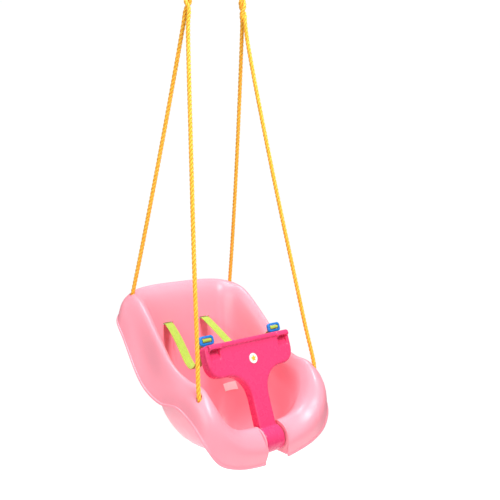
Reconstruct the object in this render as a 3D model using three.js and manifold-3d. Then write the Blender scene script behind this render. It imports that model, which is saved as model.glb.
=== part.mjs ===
// Toddler bucket swing: moulded bucket seat, fold-down T-bar, two buckled shoulder straps,
// and a rope bridle on each side that hangs from an S-hook. Millimetres, +Z up.
//
// Everything is drawn in the seat's own frame: X across the seat, -Y to the front, Z up from a
// level just under the tub. The last group moves the origin up to the hooks' bearing point.

import * as THREE from 'three';
import { mergeVertices } from 'three/addons/utils/BufferGeometryUtils.js';
import Module from 'manifold-3d';

// ---------- driving dimensions ----------

const HANG_Y = 9;                 // front-to-back place of the hooks
const HANG_Z = 1248;              // height of the inside of the hooks' upper bights
const WALL = 4;                   // moulded wall of the bucket
const BACK_EXTRA = 2.8;           // how much thicker the wall grows towards the back
const BACK_FROM_Y = 20;
const BACK_TO_Y = 130;
const GAP = 0.3;                  // clearance between pieces that touch

const LIP_Y = -185;               // centre of the rolled front lip, and of the T-bar's hinge
const LIP_Z = 90;
const LIP_RADIUS = 36;
const NOTCH_HALF = 32;            // half width of the notch in the lip
const NOTCH_BACK_Y = -153;
const NOTCH_FLARE = 6;            // how far the notch widens at its lower corners
const LIP_BOTTOM_Z = 47;
const CHEEK = 4;                  // wall that closes the lip at each side of the notch

const PIN_RADIUS = 5;
const PIN_BORE = 5.3;
const PIN_HALF = 42;
const PIN_HEAD_RADIUS = 9;
const PIN_HEAD = 3;

const BAR_LEAN = THREE.MathUtils.degToRad(21);   // the closed T-bar leans back towards the child
const BAR_THICKNESS = 28;
const BAR_BEVEL = 5;
const BAR_WALL = 3;               // moulded wall of the hollow T-bar
const BAR_HALF_WIDTH = 130;
const BAR_TOP = 238;              // from the hinge to the top edge, along the bar
const BAR_UNDER = 159;            // from the hinge to the crossbar's lower edge
const STEM_HALF = 25;
const KNUCKLE_RADIUS = 30;
const KNUCKLE_HALF = 28;

const BUCKLE_X = 105;             // middle of each buckle
const BUCKLE_BACK = 8;            // buckle plane behind the T-bar's middle plane
const BUCKLE_UP = 250;            // webbing bar above the hinge, along the bar
const BUCKLE_WIDTH = 40;
const BUCKLE_HEIGHT = 22;
const BUCKLE_THICKNESS = 7;
const TONGUE_WIDTH = 24;
const TONGUE_LENGTH = 16;
const TONGUE_THICKNESS = 4;
const WEB_BAR_RADIUS = 2.2;

const WEB_WIDTH = 25;
const WEB_THICKNESS = 2;
const SLOT_X = 58.5;              // middle of each strap slot in the backrest
const SLOT_Y = 138;
const SLOT_Z = 315;
const SLOT_WIDTH = 31;
const SLOT_HEIGHT = 6;

const ROPE_RADIUS = 4.75;
const ROPE_HOLE = 6.8;
const KNOT_RADIUS = 10;
const KNOT_LENGTH = 20;

const RING_X = 74;
const RING_Z = 1185;
const RING_HOLE = 12;
const RING_FLANGE = 24;
const RING_HALF = 7.5;
const RING_ROPE_RADIUS = 23;      // from the ring's centre to the rope's centre
const HOOK_ROD = 4;
const HOOK_BEND = 14;
const PIVOT_Z = RING_Z + RING_HOLE - HOOK_ROD - 0.8;   // middle of the hooks' lower bights

// ---------- finishes ----------

const finish = (color, roughness, metalness = 0) =>
  new THREE.MeshStandardMaterial({ color, roughness, metalness });

const FINISHES = {
  seat: () => finish(0xffb6c8, 0.35),
  bar: () => finish(0xf5437f, 0.32),
  buckle: () => finish(0x1f86d6, 0.4),
  webbing: () => finish(0xc3dc50, 0.85),
  rope: () => finish(0xffb400, 0.7),
  ring: () => finish(0xf0a500, 0.5),
  steel: () => finish(0xb8bcc0, 0.35, 0.9),
  label: () => finish(0xf6f6f4, 0.6),
  badge: () => finish(0xf4f2ec, 0.4),
};

// ---------- solids ----------

const wasm = await Module();
wasm.setup();

/** A closed geometry as a solid that can be joined and cut. */
function solid(geometry) {
  const bare = geometry.clone();
  bare.deleteAttribute('normal');
  bare.deleteAttribute('uv');
  const merged = mergeVertices(bare, 1e-4);
  return new wasm.Manifold(new wasm.Mesh({
    numProp: 3,
    vertProperties: new Float32Array(merged.attributes.position.array),
    triVerts: new Uint32Array(merged.index.array),
  }));
}

/** A solid back as a three.js geometry. */
function geometryOf(body) {
  const mesh = body.getMesh();
  const geometry = new THREE.BufferGeometry();
  geometry.setAttribute('position', new THREE.BufferAttribute(mesh.vertProperties, 3));
  geometry.setIndex(new THREE.BufferAttribute(mesh.triVerts, 1));
  return geometry;
}

const joined = (first, ...others) =>
  geometryOf(others.reduce((body, other) => body.add(solid(other)), solid(first)));

const cut = (first, ...cutters) =>
  geometryOf(cutters.reduce((body, cutter) => body.subtract(solid(cutter)), solid(first)));

const box = (width, depth, height, x, y, z) =>
  new THREE.BoxGeometry(width, depth, height).translate(x, y, z);

/** A round rod along X, centred on the given point. */
const rodX = (radius, length, x, y, z, sides = 24) =>
  new THREE.CylinderGeometry(radius, radius, length, sides).rotateZ(Math.PI / 2).translate(x, y, z);

/** A ring turned about the X axis from (radius, x) points that close on themselves. */
function turnedAboutX(profile, segments) {
  const points = profile.map(([radius, x]) => new THREE.Vector2(radius, x));
  points.push(points[0].clone());
  return new THREE.LatheGeometry(points, segments).rotateZ(-Math.PI / 2);
}

/** A flat outline in (y, z), extruded from x0 to x1. */
function slabYZ(outline, x0, x1) {
  const shape = new THREE.Shape(outline.map(([y, z]) => new THREE.Vector2(y, z)));
  const geometry = new THREE.ExtrudeGeometry(shape, { depth: x1 - x0, bevelEnabled: false, curveSegments: 12 });
  // extruded along Z with the outline in XY: carry (X, Y, Z) to (Y, Z, X)
  geometry.applyMatrix4(new THREE.Matrix4().makeBasis(
    new THREE.Vector3(0, 1, 0), new THREE.Vector3(0, 0, 1), new THREE.Vector3(1, 0, 0)));
  return geometry.translate(x0, 0, 0);
}

/** A rope or rod route whose steps are shared equally between its points, not its length. */
class Route extends THREE.CatmullRomCurve3 {
  getUtoTmapping(u) {
    return u;
  }
}

/** A round tube that follows a route. */
function tube(points, radius, sides, stepsPerPoint) {
  const route = new Route(points.map((p) => new THREE.Vector3(...p)));
  const section = new THREE.Shape();
  for (let side = 0; side < sides; side += 1) {
    const angle = (2 * Math.PI * side) / sides;
    const x = radius * Math.cos(angle);
    const y = radius * Math.sin(angle);
    if (side === 0) section.moveTo(x, y);
    else section.lineTo(x, y);
  }
  section.closePath();
  const steps = (points.length - 1) * stepsPerPoint;
  return new THREE.ExtrudeGeometry(section, { steps, extrudePath: route, bevelEnabled: false });
}

// ---------- bucket ----------

// Each rail runs round half the seat, from the middle of the back to the middle of the front,
// and is mirrored. Rails go from the skirt's lower edge, over the rolled rim, down to the floor.
const RAILS = {
  skirtEdge: [
    [0, 200, 360], [88, 199, 359], [158, 190, 350], [198, 152, 338], [206, 108, 300], [207, 28, 209],
    [206, -46, 182], [203, -110, 188], [199, -160, 164], [190, -199, 121], [165, -211, 84],
    [115, -216, 61], [40, -216, 48], [0, -216, 47],
  ],
  shoulder: [
    [0, 192, 396], [88, 191, 395], [150, 181, 390], [181, 153, 380], [191, 106, 344], [191, 24, 250],
    [191, -42, 221], [190, -106, 221], [189, -156, 214], [176, -196, 186], [146, -216, 140],
    [100, -222, 104], [40, -221, 88], [0, -221, 88],
  ],
  ridge: [
    [0, 170, 415], [80, 169, 414], [132, 161, 409], [156, 137, 402], [166, 98, 389], [172, 15, 321],
    [170, -45, 266], [165, -102, 242], [163, -150, 236], [154, -180, 204], [126, -189, 158],
    [92, -188, 134], [40, -186, 126], [0, -186, 126],
  ],
  inside: [
    [0, 152, 396], [76, 151, 395], [118, 144, 390], [139, 120, 381], [149, 84, 367], [156, 10, 301],
    [154, -45, 246], [150, -96, 224], [147, -138, 214], [137, -159, 182], [111, -161, 140],
    [80, -158, 118], [38, -154, 108], [0, -154, 108],
  ],
  wall: [
    [0, 128, 262], [72, 127, 262], [108, 120, 258], [126, 98, 250], [136, 64, 235], [142, 5, 205],
    [142, -45, 177], [139, -88, 162], [134, -120, 154], [122, -140, 140], [102, -148, 114],
    [76, -151, 98], [36, -149, 92], [0, -149, 92],
  ],
  floorEdge: [
    [0, 100, 96], [58, 99, 96], [90, 90, 97], [104, 68, 97], [110, 40, 95], [113, 0, 91],
    [113, -40, 86], [110, -76, 86], [103, -100, 86], [91, -115, 83], [77, -125, 77],
    [58, -130, 71], [30, -132, 69], [0, -132, 69],
  ],
  floor: [
    [0, 50, 32], [30, 48, 32], [48, 42, 33], [57, 30, 33], [61, 16, 34], [62, -4, 34],
    [62, -24, 36], [61, -44, 38], [58, -58, 40], [52, -68, 42], [42, -74, 43],
    [30, -78, 44], [15, -80, 44], [0, -80, 44],
  ],
};
const FLOOR_CENTRE = [0, -8, 31];
const STATION_STEPS = 2;          // facets from one point of a rail to the next
const RAIL_STEPS = [2, 3, 2, 3, 5, 2, 1];

/** A closed curve round the seat from the half rail. */
function rail(half) {
  const right = half.map((p) => new THREE.Vector3(...p));
  const left = half.slice(1, -1).reverse().map(([x, y, z]) => new THREE.Vector3(-x, y, z));
  return new THREE.CatmullRomCurve3([...right, ...left], true);
}

const SEAT_RAILS = Object.values(RAILS).map(rail);
const SEAT_CENTRE = new THREE.Vector3(...FLOOR_CENTRE);

/** The curve over the rim and down to the floor, at a turn from 0 to 1 round the seat. */
const seatSection = (turn) =>
  new THREE.CatmullRomCurve3([...SEAT_RAILS.map((curve) => curve.getPoint(turn)), SEAT_CENTRE]);

/** Points of the seat's upper face, ring by ring. */
function bucketRings() {
  const around = SEAT_RAILS[0].points.length * STATION_STEPS;
  const levels = RAIL_STEPS.flatMap((count, index) =>
    Array.from({ length: count }, (unused, step) => (index + step / count) / RAIL_STEPS.length));
  const rings = levels.map(() => []);
  for (let station = 0; station < around; station += 1) {
    const section = seatSection(station / around);
    levels.forEach((level, index) => rings[index].push(section.getPoint(level)));
  }
  return rings;
}

/** The wall's thickness from front to back. */
const wallAt = (y) => WALL + BACK_EXTRA * THREE.MathUtils.smoothstep(y, BACK_FROM_Y, BACK_TO_Y);

/** The thin moulded shell: the upper face, the same face a wall below it, and the edge between. */
function bucketShell() {
  const rings = bucketRings();
  const around = rings[0].length;
  const upper = [...rings.flat(), SEAT_CENTRE];
  const pole = upper.length - 1;
  const faces = [];
  for (let level = 0; level + 1 < rings.length; level += 1) {
    for (let station = 0; station < around; station += 1) {
      const next = (station + 1) % around;
      const a = level * around + station;
      const b = level * around + next;
      faces.push([a, a + around, b + around], [a, b + around, b]);
    }
  }
  const last = (rings.length - 1) * around;
  for (let station = 0; station < around; station += 1) {
    faces.push([last + station, pole, last + ((station + 1) % around)]);
  }
  const skin = new THREE.BufferGeometry().setFromPoints(upper);
  skin.setIndex(faces.flat());
  skin.computeVertexNormals();
  const normals = skin.attributes.normal;
  const lower = upper.map((point, index) => point.clone()
    .addScaledVector(new THREE.Vector3().fromBufferAttribute(normals, index), -wallAt(point.y)));
  const count = upper.length;
  const underside = faces.map(([a, b, c]) => [a + count, c + count, b + count]);
  const edge = [];
  for (let station = 0; station < around; station += 1) {
    const next = (station + 1) % around;
    edge.push([station, next, next + count], [station, next + count, station + count]);
  }
  const shell = new THREE.BufferGeometry().setFromPoints([...upper, ...lower]);
  shell.setIndex([...faces, ...underside, ...edge].flat());
  return shell;
}

/** The wall that closes the rolled lip beside the notch, with the hinge pin's boss. */
function cheek(side) {
  const inset = LIP_RADIUS - 1.5;
  const outline = [[NOTCH_BACK_Y + 2, LIP_BOTTOM_Z + 6], [NOTCH_BACK_Y + 2, LIP_Z]];
  const arcSteps = 10;
  for (let step = 1; step <= arcSteps; step += 1) {
    const angle = 0.12 * Math.PI + (step / arcSteps) * 0.88 * Math.PI;
    outline.push([LIP_Y + inset * Math.cos(angle), LIP_Z + inset * Math.sin(angle)]);
  }
  outline.push([LIP_Y - inset + 6, LIP_BOTTOM_Z + 6]);
  const inner = NOTCH_HALF;
  const x0 = side > 0 ? inner : -inner - CHEEK;
  const boss = rodX(PIN_HEAD_RADIUS + 3, CHEEK + 3, side * (inner + (CHEEK + 3) / 2), LIP_Y, LIP_Z);
  return joined(slabYZ(outline, x0, x0 + CHEEK), boss);
}

/** The notch in the lip: straight for the T-bar's knuckle, flared at its lower corners. */
function notchCutter() {
  const front = LIP_Y - 80;
  const straight = box(2 * NOTCH_HALF, NOTCH_BACK_Y - front, 160, 0, (front + NOTCH_BACK_Y) / 2, 100);
  const flareTop = 74;
  const shape = new THREE.Shape([
    new THREE.Vector2(-NOTCH_HALF, flareTop),
    new THREE.Vector2(-NOTCH_HALF - NOTCH_FLARE, LIP_BOTTOM_Z - 12),
    new THREE.Vector2(NOTCH_HALF + NOTCH_FLARE, LIP_BOTTOM_Z - 12),
    new THREE.Vector2(NOTCH_HALF, flareTop),
  ]);
  const flare = new THREE.ExtrudeGeometry(shape, { depth: 40, bevelEnabled: false })
    .rotateX(Math.PI / 2).translate(0, LIP_Y - 16, 0);
  return joined(straight, flare);
}

function bucket() {
  const slots = [-1, 1].map((side) =>
    box(SLOT_WIDTH, 40, SLOT_HEIGHT, side * SLOT_X, SLOT_Y, SLOT_Z));
  const ropeHoles = [-1, 1].flatMap((side) => EYES.map(({ hole: [x, y, z] }) =>
    new THREE.CylinderGeometry(ROPE_HOLE, ROPE_HOLE, 30, 12).rotateX(Math.PI / 2)
      .translate(side * x, y, z)));
  const notched = cut(bucketShell(), notchCutter());
  const closed = joined(notched, cheek(-1), cheek(1));
  const bore = rodX(PIN_BORE, 4 * NOTCH_HALF, 0, LIP_Y, LIP_Z);
  return cut(closed, bore, ...slots, ...ropeHoles);
}

// Corners of the blank label inside the tub: point of the half rail, then rail.
const LABEL_CORNERS = [[1.97, 4.77], [3.25, 4.68], [2.2, 4.9], [3.6, 4.8]];
const LABEL_GAP = 1.7;            // from the tub's smooth surface, so that its facets stay clear
const LABEL_THICKNESS = 0.5;

/** A blank label that follows the tub's inner wall. */
function label() {
  const columns = 7;
  const rows = 4;
  const halfSpans = SEAT_RAILS[0].points.length;
  const surface = (turn, level) => seatSection(turn / halfSpans).getPoint(level / RAIL_STEPS.length);
  const lerp = THREE.MathUtils.lerp;
  const near = [];
  const far = [];
  for (let row = 0; row < rows; row += 1) {
    for (let column = 0; column < columns; column += 1) {
      const across = column / (columns - 1);
      const down = row / (rows - 1);
      const [turn, level] = [0, 1].map((axis) => lerp(
        lerp(LABEL_CORNERS[0][axis], LABEL_CORNERS[1][axis], across),
        lerp(LABEL_CORNERS[2][axis], LABEL_CORNERS[3][axis], across), down));
      const point = surface(turn, level);
      const normal = surface(turn, level + 0.05).sub(point)
        .cross(surface(turn + 0.05, level).sub(point)).normalize();
      near.push(point.clone().addScaledVector(normal, LABEL_GAP));
      far.push(point.clone().addScaledVector(normal, LABEL_GAP + LABEL_THICKNESS));
    }
  }
  const faces = [];
  const count = near.length;
  const quad = (a, b, c, d) => faces.push([a, b, c], [a, c, d]);
  for (let row = 0; row + 1 < rows; row += 1) {
    for (let column = 0; column + 1 < columns; column += 1) {
      const a = row * columns + column;
      quad(a, a + 1, a + columns + 1, a + columns);
      quad(a + count, a + columns + count, a + columns + 1 + count, a + 1 + count);
    }
  }
  const border = [
    ...Array.from({ length: columns - 1 }, (unused, i) => i),
    ...Array.from({ length: rows - 1 }, (unused, i) => i * columns + columns - 1),
    ...Array.from({ length: columns - 1 }, (unused, i) => count - 1 - i),
    ...Array.from({ length: rows - 1 }, (unused, i) => (rows - 1 - i) * columns),
  ];
  border.forEach((a, index) => {
    const b = border[(index + 1) % border.length];
    quad(a, a + count, b + count, b);
  });
  const geometry = new THREE.BufferGeometry().setFromPoints([...near, ...far]);
  geometry.setIndex(faces.flat());
  return geometry;
}

// ---------- T-bar ----------

/** The bar's outline across X and up from its foot, drawn a bevel inside its edge. */
function barShape(foot) {
  const top = BAR_TOP - BAR_BEVEL;
  const half = BAR_HALF_WIDTH - BAR_BEVEL;
  const stem = STEM_HALF - BAR_BEVEL;
  const under = BAR_UNDER + BAR_BEVEL;
  const shape = new THREE.Shape();
  shape.moveTo(-stem, foot);
  shape.lineTo(stem, foot);
  shape.lineTo(stem, 96);
  shape.bezierCurveTo(stem, 134, 48, under, 82, under);
  shape.lineTo(half - 38, under);
  shape.quadraticCurveTo(half, under, half, under + 38);
  shape.lineTo(half, top - 12);
  shape.quadraticCurveTo(half, top, half - 12, top);
  shape.lineTo(12 - half, top);
  shape.quadraticCurveTo(-half, top, -half, top - 12);
  shape.lineTo(-half, under + 38);
  shape.quadraticCurveTo(-half, under, 38 - half, under);
  shape.lineTo(-82, under);
  shape.bezierCurveTo(-48, under, -stem, 134, -stem, 96);
  shape.closePath();
  return shape;
}

/** The pocket that a buckle's tongue drops into, open at the top and the back. */
const pocket = (side, wall) =>
  box(BUCKLE_WIDTH - 8 + 2 * wall, 30 + 2 * wall, 60 + 2 * wall,
    side * BUCKLE_X, 12, BAR_TOP - TONGUE_LENGTH - 6 + 30);

/** The T-bar in its own frame: hinge at the origin, Z up along the bar, -Y to the front. */
function tBar() {
  const plate = new THREE.ExtrudeGeometry(barShape(0), {
    depth: BAR_THICKNESS - 2 * BAR_BEVEL,
    bevelEnabled: true,
    bevelThickness: BAR_BEVEL,
    bevelSize: BAR_BEVEL,
    bevelSegments: 2,
    curveSegments: 6,
  }).rotateX(Math.PI / 2).translate(0, BAR_THICKNESS / 2 - BAR_BEVEL, 0);
  const knuckle = rodX(KNUCKLE_RADIUS, 2 * KNUCKLE_HALF, 0, 0, 0, 36);
  const inner = new THREE.ExtrudeGeometry(barShape(KNUCKLE_RADIUS / 2), {
    depth: BAR_THICKNESS - 2 * BAR_WALL, bevelEnabled: false, curveSegments: 4,
  }).rotateX(Math.PI / 2).translate(0, BAR_THICKNESS / 2 - BAR_WALL, 0);
  const innerKnuckle = rodX(KNUCKLE_RADIUS - BAR_WALL, 2 * (KNUCKLE_HALF - BAR_WALL), 0, 0, 0, 18);
  const boss = rodX(PIN_BORE + BAR_WALL, 80, 0, 0, 0, 18);
  const hollow = cut(joined(inner, innerKnuckle), boss, ...[-1, 1].map((side) => pocket(side, BAR_WALL)));
  const vent = new THREE.CylinderGeometry(4, 4, 12, 12).translate(0, BAR_THICKNESS / 2, 130);
  const pockets = [-1, 1].map((side) => pocket(side, 0));
  return cut(joined(plate, knuckle), hollow, vent, rodX(PIN_BORE, 80, 0, 0, 0), ...pockets);
}

/** A round badge on the front of the crossbar. */
function badge() {
  return new THREE.CylinderGeometry(11, 12, 2, 24).rotateX(Math.PI)
    .translate(0, BAR_THICKNESS / 2 + GAP + 1, 0).rotateZ(Math.PI).translate(0, 0, 187);
}

// ---------- buckles and straps ----------

/** A buckle in its own frame: webbing bar along X at the origin, tongue down into the T-bar. */
function buckle() {
  const half = BUCKLE_WIDTH / 2;
  const tall = BUCKLE_HEIGHT / 2;
  const corner = 7;
  const shape = new THREE.Shape();
  shape.moveTo(-half + corner, -tall);
  shape.lineTo(half - corner, -tall);
  shape.quadraticCurveTo(half, -tall, half, -tall + corner);
  shape.lineTo(half, tall - corner);
  shape.quadraticCurveTo(half, tall, half - corner, tall);
  shape.lineTo(-half + corner, tall);
  shape.quadraticCurveTo(-half, tall, -half, tall - corner);
  shape.lineTo(-half, -tall + corner);
  shape.quadraticCurveTo(-half, -tall, -half + corner, -tall);
  const plate = new THREE.ExtrudeGeometry(shape, {
    depth: BUCKLE_THICKNESS, bevelEnabled: false, curveSegments: 4,
  }).rotateX(Math.PI / 2).translate(0, BUCKLE_THICKNESS / 2, 0);
  const window = box(WEB_WIDTH + 3, 20, BUCKLE_HEIGHT - 11, 0, 0, 0);
  const webBar = rodX(WEB_BAR_RADIUS, WEB_WIDTH + 6, 0, 0, 0, 12);
  const tongue = box(TONGUE_WIDTH, TONGUE_THICKNESS, TONGUE_LENGTH + 2, 0, 0, -tall - TONGUE_LENGTH / 2 + 1);
  return joined(cut(plate, window), webBar, tongue);
}

/** The webbing's side view from its slot to the buckle, as points down its middle. */
const BUCKLE_Y = LIP_Y + BUCKLE_UP * Math.sin(BAR_LEAN) + BUCKLE_BACK * Math.cos(BAR_LEAN);
const BUCKLE_Z = LIP_Z + BUCKLE_UP * Math.cos(BAR_LEAN) - BUCKLE_BACK * Math.sin(BAR_LEAN);
const STRAP_PIVOT = [SLOT_Y - 6, SLOT_Z];
const STRAP_ROUTE = [
  [STRAP_PIVOT[0], STRAP_PIVOT[1]], [118, 308], [82, 286], [48, 263], [15, 242], [-16, 236],
  [-44, 251], [-66, 287], [-75, 306],
];

/** A strip of webbing: a side view (y, z), its width across X, and how far it has moved across. */
function webbing(route, xAt) {
  const curve = new THREE.CatmullRomCurve3(route.map(([y, z]) => new THREE.Vector3(y, z, 0)));
  const steps = (route.length - 1) * 2;
  const upper = [];
  const lower = [];
  for (let step = 0; step <= steps; step += 1) {
    const point = curve.getPoint(step / steps);
    const tangent = curve.getTangent(step / steps);
    const offset = WEB_THICKNESS / 2;
    upper.push([point.x - tangent.y * offset, point.y + tangent.x * offset]);
    lower.push([point.x + tangent.y * offset, point.y - tangent.x * offset]);
  }
  const strip = slabYZ([...upper, ...lower.reverse()], -WEB_WIDTH / 2, WEB_WIDTH / 2);
  const position = strip.attributes.position;
  for (let index = 0; index < position.count; index += 1) {
    position.setX(index, position.getX(index) + xAt(position.getY(index)));
  }
  return strip;
}

/** The loop round the buckle's webbing bar and the strap's run from it to the slot. */
function strap(side) {
  const loopRadius = WEB_BAR_RADIUS + 0.5 + WEB_THICKNESS / 2;
  const loop = [];
  const loopSteps = 6;
  for (let step = 0; step <= loopSteps; step += 1) {
    const angle = -0.55 * Math.PI - (step / loopSteps) * 1.25 * Math.PI;
    loop.push([BUCKLE_Y + loopRadius * Math.cos(angle), BUCKLE_Z + loopRadius * Math.sin(angle)]);
  }
  const run = [...STRAP_ROUTE, ...loop];
  const spread = (y) => THREE.MathUtils.clamp((SLOT_Y - y) / (SLOT_Y - BUCKLE_Y - 8), 0, 1) ** 1.4;
  return webbing(run, (y) => side * (SLOT_X + (BUCKLE_X - SLOT_X) * spread(y)));
}

/** The webbing that passes through the slot and lies down the back of the seat. */
function strapAnchor(side) {
  const route = [[STRAP_PIVOT[0] + 2, SLOT_Z], [SLOT_Y + 4, SLOT_Z], [SLOT_Y + 13, SLOT_Z - 1]];
  return webbing(route, () => side * SLOT_X);
}

/** The plastic bar sewn into the webbing, too wide to pull through the slot. */
function strapStop(side) {
  return rodX(4, SLOT_WIDTH + 14, side * SLOT_X, SLOT_Y + 13 + 1 + 4 + GAP, SLOT_Z - 1, 12);
}

// ---------- ropes, knots, rings and hooks ----------

// The right-hand rope: up from the front eye, twisted with its own return, over the ring,
// and down to the back eye. The left-hand rope is its mirror image.
const ROPE_ROUTE = [
  [177, -161.6, 207], [180, -160, 222], [167.5, -136.7, 330], [148.2, -100.8, 500],
  [130.6, -70.2, 650], [113.7, -41, 800], [97.7, -13.1, 950], [88.5, 1.5, 1040], [85, 3.8, 1075],
  [88.7, 9, 1090], [82, 14.2, 1105], [75.3, 9, 1120], [79, 3.8, 1135], [77.3, 3.6, 1150],
  [74.3, -8.6, 1168], [74, -14, 1185], [74, -7.3, 1201.3], [74, 9, 1208], [74, 25.3, 1201.3],
  [74, 32, 1185], [74.3, 26.6, 1168], [77.3, 14.4, 1150], [79, 14.2, 1135], [85.7, 9, 1120],
  [82, 3.8, 1105], [78.3, 9, 1090], [85, 14.2, 1075], [88.7, 19.8, 1040], [98.3, 35.5, 950],
  [114.2, 63.2, 800], [130.2, 92.8, 650], [146.1, 124.3, 500], [157, 147, 398], [158.5, 149.5, 384],
];

/** The four holes in the rim, and the middle of the knot below each. */
const EYES = [
  { name: 'front_knot', hole: [180, -160, 222], knot: [174.5, -163, 195.5] },
  { name: 'back_knot', hole: [157, 147, 398], knot: [158.5, 149.5, 372.5] },
];

const rope = (side) => tube(ROPE_ROUTE.map(([x, y, z]) => [side * x, y, z]), ROPE_RADIUS, 8, 2);

/** The stopper knot under an eye, with the rope's end against its top face. */
function knot([x, y, z]) {
  const half = KNOT_LENGTH / 2;
  const profile = [[0, -half], [6, -half], [KNOT_RADIUS, -4], [KNOT_RADIUS, 4], [6, half], [0, half]];
  return new THREE.LatheGeometry(profile.map(([r, h]) => new THREE.Vector2(r, h)), 12)
    .rotateX(Math.PI / 2).translate(x, y, z);
}

/** The grooved ring that the rope passes over. */
function ring(side) {
  const groove = ROPE_RADIUS + 0.8;
  const profile = [
    [RING_HOLE + 3.4, -RING_HALF], [RING_FLANGE, -RING_HALF], [RING_FLANGE, -groove],
  ];
  for (let step = 1; step < 6; step += 1) {
    const angle = (step / 6) * Math.PI;
    profile.push([RING_ROPE_RADIUS - groove * Math.sin(angle), -groove * Math.cos(angle)]);
  }
  profile.push([RING_FLANGE, groove], [RING_FLANGE, RING_HALF], [RING_HOLE + 3.4, RING_HALF]);
  profile.push([RING_HOLE + 0.9, 4], [RING_HOLE, 0], [RING_HOLE + 0.9, -4]);
  return turnedAboutX(profile, 24).translate(side * RING_X, HANG_Y, RING_Z);
}

/** The band that binds the rope to its own return below the ring. */
function seizing(side) {
  const slot = (halfWidth, radius) => {
    const shape = new THREE.Shape();
    shape.absarc(halfWidth, 0, radius, -Math.PI / 2, Math.PI / 2, false);
    shape.absarc(-halfWidth, 0, radius, Math.PI / 2, 1.5 * Math.PI, false);
    shape.closePath();
    return shape;
  };
  const outline = slot(5.3, ROPE_RADIUS + 3);
  outline.holes.push(slot(5.3, ROPE_RADIUS + 0.6));
  return new THREE.ExtrudeGeometry(outline, { depth: 11, bevelEnabled: false, curveSegments: 8 })
    .translate(0, 0, -5.5).rotateZ(Math.PI / 2)
    .rotateY(side * -0.11).translate(side * 78.1, HANG_Y, 1142.5);
}

/** An S-hook: the ring hangs in its lower bight, and its upper bight hangs from the frame. */
function hook(side) {
  const bend = HOOK_BEND;
  const low = PIVOT_Z + bend;
  const high = HANG_Z + HOOK_ROD - bend;
  const c = Math.SQRT1_2 * bend;
  const route = [
    [-bend, low + 6], [-bend, low], [-c, low - c], [0, low - bend], [c, low - c], [bend, low],
    [bend * 0.62, low + 12], [-bend * 0.62, high - 12],
    [-bend, high], [-c, high + c], [0, high + bend], [c, high + c], [bend, high], [bend, high - 6],
  ];
  return tube(route.map(([x, z]) => [side * (RING_X + x), HANG_Y, z]), HOOK_ROD, 10, 2);
}

// ---------- assembly ----------

const swing = new THREE.Group();
swing.position.set(0, -HANG_Y, -HANG_Z);

function place(name, geometry, material, parent = swing) {
  const mesh = new THREE.Mesh(geometry, material());
  mesh.name = name;
  parent.add(mesh);
  return mesh;
}

const SIDES = [['left', -1], ['right', 1]];

place('bucket', bucket(), FINISHES.seat);
place('blank_label', label(), FINISHES.label);
const pinLength = 2 * PIN_HALF;
place('hinge_pin', joined(
  rodX(PIN_RADIUS, pinLength, 0, LIP_Y, LIP_Z),
  rodX(PIN_HEAD_RADIUS, PIN_HEAD, -PIN_HALF - PIN_HEAD / 2 + 1, LIP_Y, LIP_Z),
), FINISHES.bar);
place('hinge_pin_cap', cut(
  rodX(PIN_HEAD_RADIUS, 8, PIN_HALF + 1, LIP_Y, LIP_Z),
  rodX(PIN_RADIUS + GAP, 8, PIN_HALF - 3 + GAP, LIP_Y, LIP_Z),
), FINISHES.bar);

const barFrame = new THREE.Group();
barFrame.position.set(0, LIP_Y, LIP_Z);
barFrame.rotation.x = -BAR_LEAN;
swing.add(barFrame);
place('t_bar', tBar(), FINISHES.bar, barFrame);
place('badge', badge(), FINISHES.badge, barFrame);

for (const [name, side] of SIDES) {
  const buckleFrame = new THREE.Group();
  buckleFrame.position.set(side * BUCKLE_X, BUCKLE_BACK, BUCKLE_UP);
  barFrame.add(buckleFrame);
  place(`${name}_buckle`, buckle(), FINISHES.buckle, buckleFrame);
  place(`${name}_strap`, strap(side), FINISHES.webbing);
  place(`${name}_strap_anchor`, strapAnchor(side), FINISHES.webbing);
  place(`${name}_strap_stop`, strapStop(side), FINISHES.buckle);
  place(`${name}_rope`, rope(side), FINISHES.rope);
  for (const { name: knotName, knot: [x, y, z] } of EYES) {
    place(`${name}_${knotName}`, knot([side * x, y, z]), FINISHES.rope);
  }
  place(`${name}_ring`, ring(side), FINISHES.ring);
  place(`${name}_seizing`, seizing(side), FINISHES.rope);
  place(`${name}_hook`, hook(side), FINISHES.steel);
}

export default swing;
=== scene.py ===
"""The looks of a toddler bucket swing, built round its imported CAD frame.

Sizes are given in millimetres in the seat's own frame (X across the seat, -Y to the front, Z up),
and `to_row` carries them to the row frame in metres, whose origin is where the hooks hang.
"""

import logging
import math
from collections.abc import Callable, Sequence
from dataclasses import dataclass, field
from enum import Enum

import bmesh
import bpy
import numpy as np
from mathutils import Matrix, Vector


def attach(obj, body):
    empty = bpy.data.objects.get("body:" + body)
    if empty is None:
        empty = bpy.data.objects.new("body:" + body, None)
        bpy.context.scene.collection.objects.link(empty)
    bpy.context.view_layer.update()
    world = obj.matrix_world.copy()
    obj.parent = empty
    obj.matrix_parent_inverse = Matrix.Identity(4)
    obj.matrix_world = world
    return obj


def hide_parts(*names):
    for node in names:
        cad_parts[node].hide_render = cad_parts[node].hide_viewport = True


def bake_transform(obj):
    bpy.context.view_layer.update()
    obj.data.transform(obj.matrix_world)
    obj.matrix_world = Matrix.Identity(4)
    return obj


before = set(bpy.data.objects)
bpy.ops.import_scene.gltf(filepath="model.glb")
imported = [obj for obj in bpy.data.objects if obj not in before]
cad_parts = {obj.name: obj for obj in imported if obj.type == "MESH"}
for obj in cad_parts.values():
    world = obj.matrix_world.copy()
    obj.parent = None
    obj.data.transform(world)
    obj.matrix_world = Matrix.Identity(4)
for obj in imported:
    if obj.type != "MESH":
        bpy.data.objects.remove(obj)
log = logging.getLogger("bucket_swing")

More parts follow.
